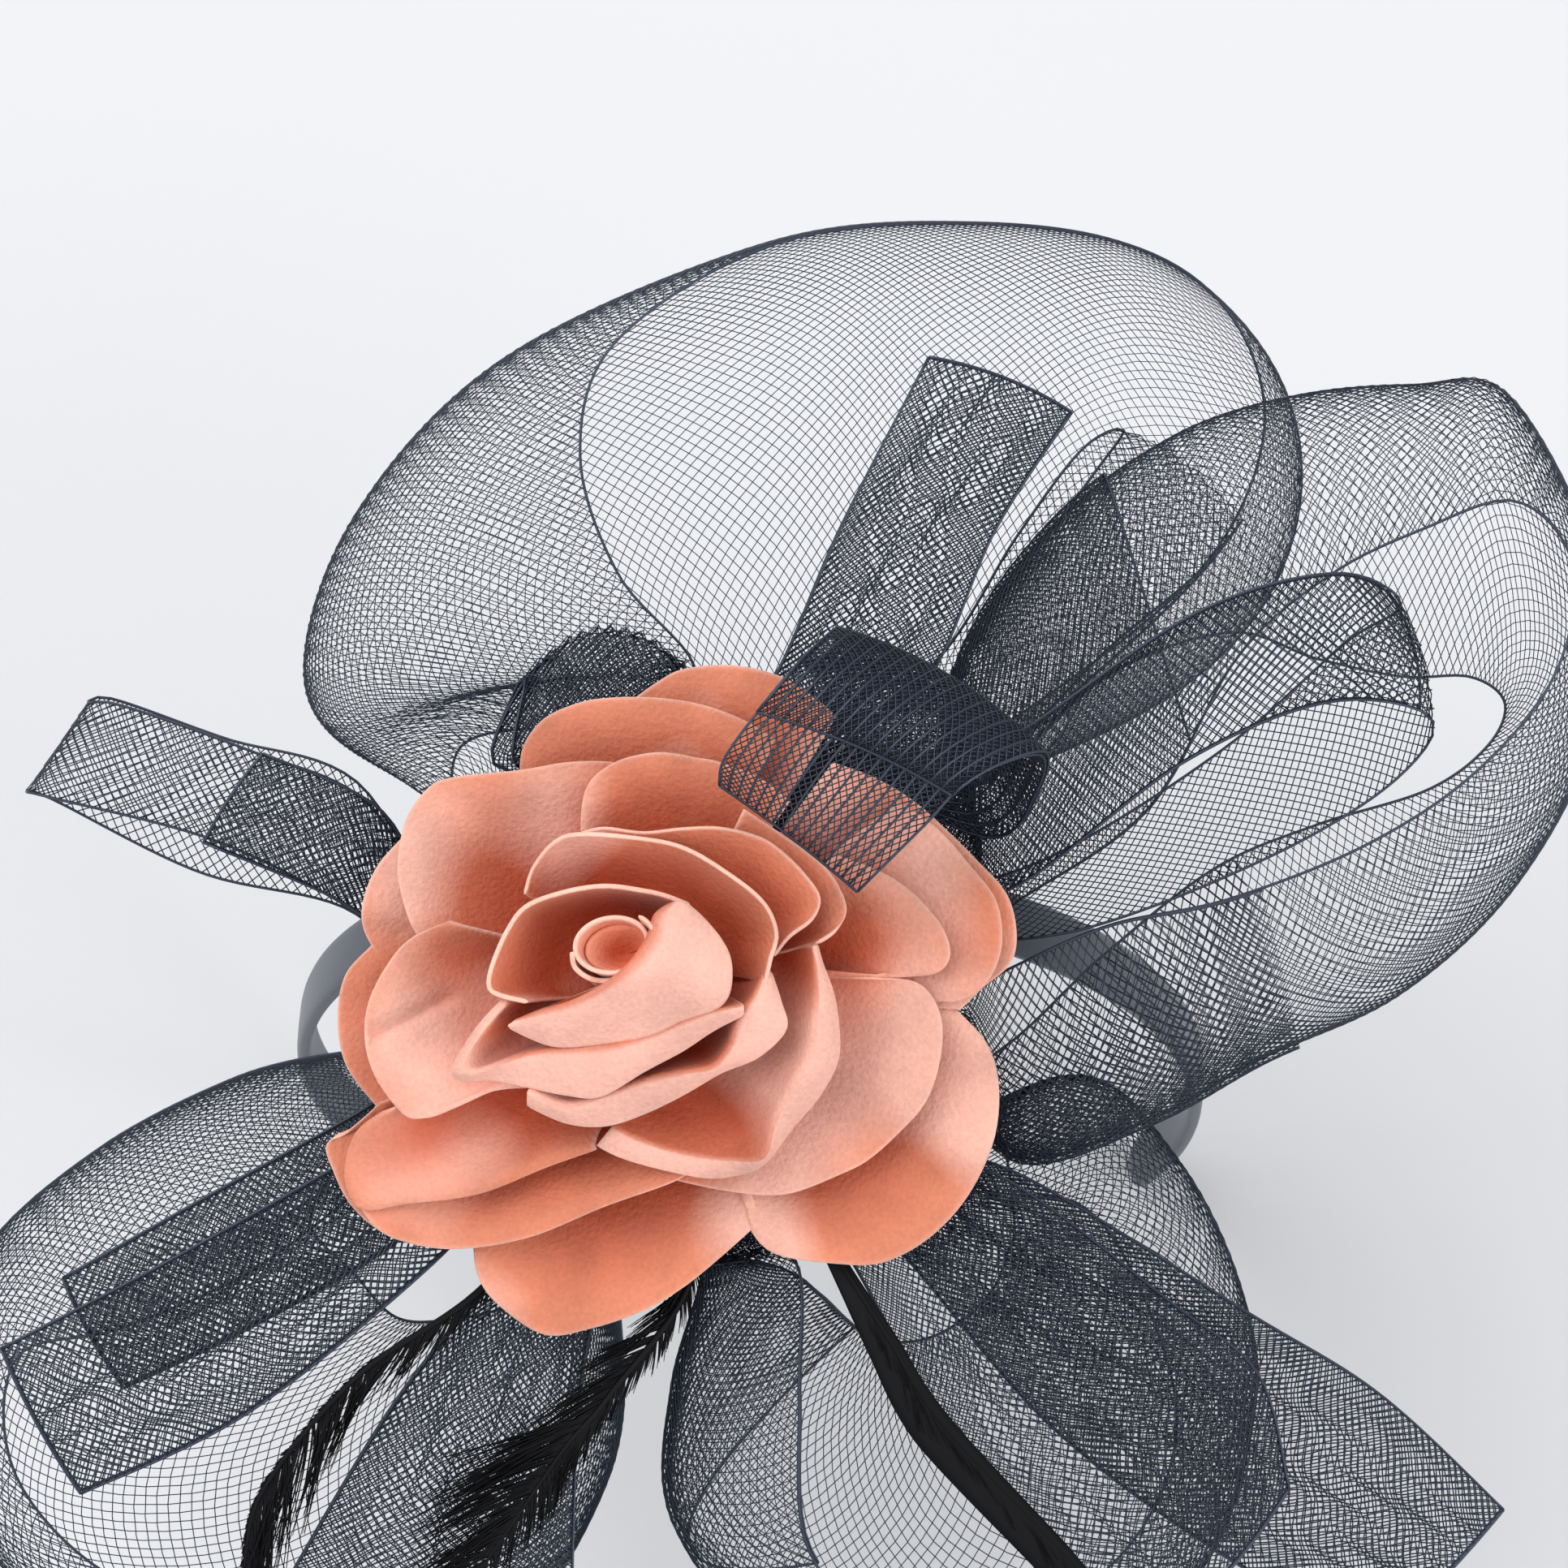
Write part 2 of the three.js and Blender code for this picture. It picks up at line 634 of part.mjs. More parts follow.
function fromManifold(solid) {
  const mesh = solid.getMesh();
  const geometry = new THREE.BufferGeometry();
  geometry.setAttribute("position", new THREE.BufferAttribute(mesh.vertProperties, 3));
  geometry.setIndex(new THREE.BufferAttribute(mesh.triVerts, 1));
  const flat = geometry.toNonIndexed();
  flat.computeVertexNormals();
  return flat;
}

const hoopAngle = THREE.MathUtils.radToDeg(Math.asin(SPRAY_OFFSET / hoopRadius));
const saddleTop = hoopPoint(hoopAngle);
const overBand = new THREE.Vector3(SPRAY_OFFSET, 0, saddleTop.z + BAND_THICKNESS / 2 + BASE_RISE);
const upTheSpray = new THREE.Vector3(0, 1, 0)
  .applyEuler(new THREE.Euler(radians(SPRAY_PITCH), 0, radians(SPRAY_TURN), "ZYX"));
const baseCentre = overBand.clone().addScaledVector(upTheSpray, -SPRAY_FORWARD);

function addHeadband() {
  addMesh(fascinator, "headband", bandSolid(-HOOP_END_ANGLE, HOOP_END_ANGLE, 48, 0), SATIN_SLATE);
}

// The covered disc, with a saddle under it that holds the headband in a tunnel.
function addBase() {
  const disc = new THREE.CylinderGeometry(BASE_RADIUS, BASE_RADIUS, BASE_THICKNESS, 48)
    .rotateX(Math.PI / 2).translate(0, 0, -BASE_THICKNESS / 2)
    .rotateX(radians(SPRAY_PITCH)).rotateZ(radians(SPRAY_TURN))
    .translate(baseCentre.x, baseCentre.y, baseCentre.z);
  const bottom = saddleTop.z - BAND_THICKNESS / 2 - TUNNEL_CLEARANCE - SADDLE_WALL;
  const top = overBand.z - BASE_THICKNESS / 2;
  const width = BAND_WIDTH + 2 * (TUNNEL_CLEARANCE + SADDLE_WALL);
  const tilt = Math.tan(radians(SPRAY_PITCH)) * (width / 2);
  const block = solidFromRings([-0.5, 0.5].map((end) => {
    const x = SPRAY_OFFSET + end * SADDLE_LENGTH;
    return [[1, top + tilt], [-1, top - tilt], [-1, bottom], [1, bottom]]
      .map(([side, z]) => new THREE.Vector3(x, (side * width) / 2, z));
  }));
  const [from, to] = [hoopAngle - TUNNEL_HALF_ANGLE, hoopAngle + TUNNEL_HALF_ANGLE];
  const tunnel = bandSolid(from, to, 10, TUNNEL_CLEARANCE);
  const solid = toManifold(disc).add(toManifold(block)).subtract(toManifold(tunnel));
  addMesh(fascinator, "base_disc", fromManifold(solid), SATIN_SLATE);
}

addHeadband();
addBase();
CRIN.forEach(crinPiece);
addCore();
addCoil();
addPetals();
FEATHERS.forEach(featherPiece);

const pitched = new THREE.Group();
pitched.rotation.x = radians(SPRAY_PITCH);
pitched.add(spray);
const turned = new THREE.Group();
turned.rotation.z = radians(SPRAY_TURN);
turned.position.copy(baseCentre);
turned.add(pitched);
fascinator.add(turned);

export default fascinator;
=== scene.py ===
"""Looks for the fascinator: crin net worked thread by thread, a fabric rose, feathers and a satin band.

Shapes are worked out in millimetres flat on the base of the spray: x across, y up the spray, z out
of the rose. to_row turns them into the row frame, in metres.
"""
import math

import bpy
import numpy as np
from bpy.props import FloatProperty, FloatVectorProperty, IntProperty, PointerProperty
from mathutils import Matrix, Vector


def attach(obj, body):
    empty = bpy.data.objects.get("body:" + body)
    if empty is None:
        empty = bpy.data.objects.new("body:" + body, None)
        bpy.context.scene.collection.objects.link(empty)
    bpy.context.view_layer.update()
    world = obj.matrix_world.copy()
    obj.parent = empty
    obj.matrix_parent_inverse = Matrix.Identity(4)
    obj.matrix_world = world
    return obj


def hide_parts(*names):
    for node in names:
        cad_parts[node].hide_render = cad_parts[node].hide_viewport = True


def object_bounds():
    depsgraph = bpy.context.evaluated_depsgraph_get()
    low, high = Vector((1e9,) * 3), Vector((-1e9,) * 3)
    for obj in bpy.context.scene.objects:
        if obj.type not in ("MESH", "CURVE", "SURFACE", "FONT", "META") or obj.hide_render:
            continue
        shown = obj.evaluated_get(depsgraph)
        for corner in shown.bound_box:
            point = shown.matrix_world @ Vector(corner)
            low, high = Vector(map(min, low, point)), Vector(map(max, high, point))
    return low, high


bl_info = {
    "name": "Rose and Crin Fascinator",
    "version": (1, 0, 0),
    "blender": (4, 5, 0),
    "location": "3D View > Sidebar > Fascinator",
    "description": "Dresses the fascinator: crin net, fabric rose, feathers, satin headband and stage",
    "category": "Object",
}

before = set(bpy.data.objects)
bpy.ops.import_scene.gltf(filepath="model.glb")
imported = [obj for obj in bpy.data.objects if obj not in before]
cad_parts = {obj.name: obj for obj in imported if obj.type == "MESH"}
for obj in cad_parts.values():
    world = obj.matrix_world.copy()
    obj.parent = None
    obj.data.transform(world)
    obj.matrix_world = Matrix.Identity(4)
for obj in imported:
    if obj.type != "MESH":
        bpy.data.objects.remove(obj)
CAD_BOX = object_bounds()

MM = 0.001


# Sizes and colours

LENGTH = {"subtype": "DISTANCE", "unit": "LENGTH"}
ANGLE = {"subtype": "ANGLE", "unit": "ROTATION"}
POWER = {"subtype": "POWER", "unit": "POWER"}
COLOUR = {"subtype": "COLOR", "size": 3, "min": 0, "max": 1}


class PlaceSettings(bpy.types.PropertyGroup):
    """Where the spray sits on the headband"""

    offset: FloatProperty(
        name="Offset", description="Spray's place along the headband from its top", default=-0.008, **LENGTH)
    pitch: FloatProperty(
        name="Pitch", description="Tilt of the spray towards the front of the head",
        default=math.radians(22), **ANGLE)
    forward: FloatProperty(
        name="Forward", description="How far the base's middle lies in front of the headband, along the base",
        default=0.018, **LENGTH)
    turn: FloatProperty(
        name="Turn", description="Turn of the spray about the vertical", default=math.radians(3), **ANGLE)
    rise: FloatProperty(
        name="Rise", description="Height of the base's top above the headband", default=0.0075, **LENGTH)


class BandSettings(bpy.types.PropertyGroup):
    """The satin headband"""

    width: FloatProperty(
        name="Width", description="Width of the headband", default=0.009, **LENGTH)
    thickness: FloatProperty(
        name="Thickness", description="Thickness of the headband", default=0.0024, **LENGTH)
    hoop_width: FloatProperty(
        name="Hoop width", description="Widest outside width of the hoop", default=0.14, **LENGTH)
    hoop_drop: FloatProperty(
        name="Hoop drop", description="Height from the hoop's ends to its top", default=0.125, **LENGTH)
    end_angle: FloatProperty(
        name="End angle", description="Angle of the hoop's ends from its top",
        default=math.radians(115), **ANGLE)
    colour: FloatVectorProperty(
        name="Satin", description="Colour of the satin", default=(0.042, 0.052, 0.075), **COLOUR)


class CrinSettings(bpy.types.PropertyGroup):
    """The crin net"""

    pitch: FloatProperty(
        name="Mesh", description="Distance from thread to thread across the net", default=0.00105, **LENGTH)
    thread: FloatProperty(
        name="Thread", description="Thickness of one thread", default=0.00021, **LENGTH)
    selvedge: FloatProperty(
        name="Selvedge", description="Thickness of the cord along each edge", default=0.00042, **LENGTH)
    step: FloatProperty(
        name="Step", description="Length of the straight pieces that a thread is made of",
        default=0.0034, **LENGTH)
    apart: FloatProperty(
        name="Layers apart", description="Distance between the two layers of a doubled tail",
        default=0.0013, **LENGTH)
    colour: FloatVectorProperty(
        name="Crin", description="Colour of the crin thread", default=(0.017, 0.02, 0.036), **COLOUR)


class RoseSettings(bpy.types.PropertyGroup):
    """The fabric rose"""

    cloth: FloatProperty(
        name="Cloth", description="Thickness of a petal", default=0.00055, **LENGTH)
    core_radius: FloatProperty(
        name="Core radius", description="Radius of the rolled core at its foot", default=0.007, **LENGTH)
    core_height: FloatProperty(
        name="Core height", description="Height of the rolled core", default=0.029, **LENGTH)
    height: FloatProperty(
        name="Height", description="Height of the rose's lips above the base", default=0.04, **LENGTH)
    lean_left: FloatProperty(
        name="Lean left", description="How far the top leans to the left", default=0.01, **LENGTH)
    lean_up: FloatProperty(
        name="Lean up", description="How far the top leans up the spray", default=0.007, **LENGTH)
    colour: FloatVectorProperty(
        name="Coral", description="Colour of the petals", default=(0.66, 0.213, 0.12), **COLOUR)
    # Deep coral is painted shade: the petals darken towards their feet, where they sink between their
    # neighbours.
    deep: FloatVectorProperty(
        name="Deep coral", description="Colour towards the petals' feet",
        default=(0.48, 0.085, 0.035), **COLOUR)
    # Pale coral is painted highlight: over the folded lips and in broad patches it stands in for the satin's
    # sheen.
    pale: FloatVectorProperty(
        name="Pale coral", description="Colour of the folded lips and of the worn patches",
        default=(0.82, 0.435, 0.342), **COLOUR)
    # The rim colour is the sealed edge's own paler tone, partly painted highlight along the edge.
    rim: FloatVectorProperty(
        name="Rim", description="Colour of the heat-sealed edges", default=(0.85, 0.49, 0.385), **COLOUR)


class FeatherSettings(bpy.types.PropertyGroup):
    """The feathers"""

    barbs: IntProperty(
        name="Barbs", description="Barbs on each side of a quill", default=420, min=20, max=600)
    barb: FloatProperty(
        name="Barb", description="Thickness of one barb", default=0.00038, **LENGTH)
    quill: FloatProperty(
        name="Quill", description="Thickness of a quill at its foot", default=0.0012, **LENGTH)
    colour: FloatVectorProperty(
        name="Black", description="Colour of the barbs", default=(0.003, 0.003, 0.004), **COLOUR)


class StageSettings(bpy.types.PropertyGroup):
    """Floor, light and camera"""

    floor: FloatVectorProperty(
        name="Floor", description="Colour of the floor", default=(0.69, 0.695, 0.71), **COLOUR)
    sky: FloatProperty(name="Sky", description="Strength of the even light all round", default=0.66, min=0)
    key: FloatProperty(
        name="Key", description="Power of the soft light from the upper left", default=25.0, **POWER)
    fill: FloatProperty(
        name="Fill", description="Power of the soft light from the right", default=15.0, **POWER)
    eye_height: FloatProperty(
        name="Camera distance", description="Distance from the base to the camera", default=0.585, **LENGTH)
    view_width: FloatProperty(
        name="View width", description="Width that the picture shows at the rose's middle",
        default=0.20286, **LENGTH)


SETTINGS = {
    "fascinator_place": PlaceSettings,
    "fascinator_band": BandSettings,
    "fascinator_crin": CrinSettings,
    "fascinator_rose": RoseSettings,
    "fascinator_feather": FeatherSettings,
    "fascinator_stage": StageSettings,
}


# Placing and meshes


def hoop_points(band, angles):
    """Middle of the band's wall, in mm: a point of an ellipse, across = half the hoop's width times the
    sine of the angle, and down = the drop's share of one minus the cosine."""
    across = (band.hoop_width - band.thickness) / 2 / MM
    down = band.hoop_drop / MM / (1 - math.cos(band.end_angle))
    return np.stack([
        across * np.sin(angles), 0 * angles, band.thickness / 2 / MM + down * (np.cos(angles) - 1)], -1)


def place_angle(scene):
    """Angle of the headband at which the spray sits."""
    band = scene.fascinator_band
    return math.asin(scene.fascinator_place.offset * 2 / (band.hoop_width - band.thickness))


def spray_matrix(scene):
    """Turn about Z after pitch about X, then the step to the top of the base, in mm. The base's middle
    lies forward of the point over the headband, along the base."""
    place, band = scene.fascinator_place, scene.fascinator_band
    seat = hoop_points(band, np.array([place_angle(scene)]))[0]
    over_band = Vector((place.offset / MM, 0, seat[2] + (band.thickness / 2 + place.rise) / MM))
    turned = Matrix.Rotation(place.turn, 4, "Z") @ Matrix.Rotation(place.pitch, 4, "X")
    return Matrix.Translation(over_band) @ turned @ Matrix.Translation((0, -place.forward / MM, 0))


def to_row(scene, points):
    """Spray millimetres to row metres: each point times the spray's matrix, times a thousandth."""
    matrix = np.array(spray_matrix(scene))
    return (points @ matrix[:3, :3].T + matrix[:3, 3]) * MM


def parts_to_row(scene, parts):
    """The parts of a mesh with their points in row metres."""
    return [(to_row(scene, points), quads, triangles) for points, quads, triangles in parts]


def make_piece(name, parts, material, nodes=(), attributes=None):
    """One mesh from a list of parts, each (points in row metres, quads, triangles), joined end to end.
    It rides on the part, takes its finish from the material's slot and stands for the CAD nodes."""
    points, loops, sizes, start = [], [], [], 0
    for vertices, quads, triangles in parts:
        points.append(vertices.reshape(-1, 3))
        for faces in (quads, triangles):
            if len(faces):
                loops.append(faces.ravel() + start)
                sizes.append(np.full(len(faces), faces.shape[1]))
        start += len(points[-1])
    points, loops, sizes = np.concatenate(points), np.concatenate(loops), np.concatenate(sizes)
    mesh = bpy.data.meshes.new(name)
    mesh.vertices.add(len(points))
    mesh.vertices.foreach_set("co", points.ravel().astype(np.float32))
    mesh.loops.add(len(loops))
    mesh.loops.foreach_set("vertex_index", loops.astype(np.int32))
    mesh.polygons.add(len(sizes))
    mesh.polygons.foreach_set("loop_start", np.concatenate([[0], np.cumsum(sizes)[:-1]]).astype(np.int32))
    mesh.update(calc_edges=True)
    mesh.shade_smooth()
    for label, values in (attributes or {}).items():
        attribute = mesh.attributes.new(label, "FLOAT", "POINT")
        attribute.data.foreach_set("value", values.astype(np.float32).ravel())
    mesh.materials.append(material)
    piece = bpy.data.objects.new(name, mesh)
    bpy.context.scene.collection.objects.link(piece)
    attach(piece, "root")
    if nodes:
        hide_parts(*nodes)
    return piece


def unit(vectors):
    """Each vector divided by its own length."""
    return vectors / np.maximum(np.linalg.norm(vectors, axis=-1, keepdims=True), 1e-12)


def swept(rings):
    """Closed tubes from their rings, (tube, step, side, 3), with quads between rings and fans at the ends."""
    count, steps, sides = rings.shape[:3]
    tube, step, j = np.meshgrid(np.arange(count), np.arange(steps - 1), np.arange(sides), indexing="ij")
    at = (tube * steps + step) * sides
    k = (j + 1) % sides
    quads = np.stack([at + j, at + sides + j, at + sides + k, at + k], -1).reshape(-1, 4)
    first = np.arange(count)[:, None] * steps * sides
    last = first + (steps - 1) * sides
    fan = np.arange(1, sides - 1)
    start_caps = np.stack([first + 0 * fan, first + fan, first + fan + 1], -1).reshape(-1, 3)
    end_caps = np.stack([last + 0 * fan, last + fan + 1, last + fan], -1).reshape(-1, 3)
    return rings, quads, np.concatenate([start_caps, end_caps])


def tubes(paths, normals, radii, sides):
    """Round tubes along many paths at once. paths and normals are (tube, step, 3). Ring point = path +
    radius times (cosine times side + sine times normal), where side = run cross normal."""
    run = unit(np.gradient(paths, axis=1))
    side = unit(np.cross(run, normals))
    normals = np.cross(side, run)
    turn = np.arange(sides) * 2 * np.pi / sides
    ring = np.cos(turn)[:, None] * side[:, :, None] + np.sin(turn)[:, None] * normals[:, :, None]
    radii = np.broadcast_to(np.asarray(radii, float), paths.shape[:2])
    return swept(paths[:, :, None] + ring * radii[:, :, None, None])


def shell(front, back):
    """A closed shell from a front and a back grid, each (row, column, 3), with a wall round the edge."""
    rows, columns = front.shape[:2]
    i, j = np.meshgrid(np.arange(rows - 1), np.arange(columns - 1), indexing="ij")
    at = i * columns + j
    face = np.stack([at, at + columns, at + columns + 1, at + 1], -1).reshape(-1, 4)
    edge = np.concatenate([
        np.arange(columns - 1), np.arange(1, rows) * columns - 1,
        rows * columns - 1 - np.arange(columns - 1), np.arange(rows - 1, 0, -1) * columns])
    after = np.roll(edge, -1)
    wall = np.stack([edge, after, after + rows * columns, edge + rows * columns], -1)
    quads = np.concatenate([face, face[:, ::-1] + rows * columns, wall])
    return np.concatenate([front.reshape(-1, 3), back.reshape(-1, 3)]), quads, np.empty((0, 3), int)


# Curves


def level_slope(before, after):
    """Harmonic mean of two slopes of one sign, and nought where the sign changes."""
    same = before * after > 0
    return np.where(same, 2 * before * after / np.where(same, before + after, 1), 0)


def spline(rows, u):
    """Smooth curve through rows at even steps of u: cubic Hermite, with the mean of both steps as slope.
    Every third number is a height and takes the level slope, so it never overshoots."""
    count = len(rows) - 1
    at = np.clip((u * count).astype(int), 0, count - 1)
    t = (u * count - at)[..., None]
    a, b, c, d = (rows[np.clip(at + k, 0, count)] for k in (-1, 0, 1, 2))
    height = np.arange(rows.shape[1]) % 3 == 2
    slope_b = np.where(height, level_slope(b - a, c - b), (c - a) / 2)
    slope_c = np.where(height, level_slope(c - b, d - c), (d - b) / 2)
    return ((2 * t**3 - 3 * t**2 + 1) * b + (t**3 - 2 * t**2 + t) * slope_b
            + (3 * t**2 - 2 * t**3) * c + (t**3 - t**2) * slope_c)


def surface_normals(surface, u, v, step=1e-3):
    """Cross product of the slopes along u and along v."""
    along_u = surface(np.minimum(u + step, 1), v) - surface(np.maximum(u - step, 0), v)
    along_v = surface(u, np.minimum(v + step, 1)) - surface(u, np.maximum(v - step, 0))
    return unit(np.cross(along_u, along_v))


# Crin net. Each row of a piece: near selvedge x y z, crown x y z, far selvedge x y z, in hundredths
# of its reach. start and end say where a gathered end lies on the base: from angle, to angle, level.
# mesh and thread are shares of the usual ones, double is a net folded on itself, lined has a second
# layer over those spans of its length, crushed is how far its threads wander, ribs are cords along
# it, and thread thins towards the gathers after fades.

PLAIN = {
    "layers": 1, "double": False, "lined": [], "mesh": 1, "thread": 1, "fades": 1, "crushed": 0, "ribs": 0}
TAIL = {"layers": 2, "mesh": 0.85, "thread": 1.15, "crushed": 0.5}
NET_WALL = 1
STACK_GAP = 0.4
ROOT_INNER = 13
ROOT_OUTER = 34
TRIES = 600
THREAD_SIDES = 3
EDGE_SIDES = 5
THINNEST = 0.45
FOLD_APART = 0.7
LAYER_SHIFT = 0.6
CRUSH_WAVE = 1.1
CRUSH_SLANT = 7
CRUSH_SECOND = (0.6, 1.7)
LAYER_PHASES = (4, 9)
WEAVE = 0.8
EDGE_STEP = 2
CUT_STEPS = 40
RIB = 1.7

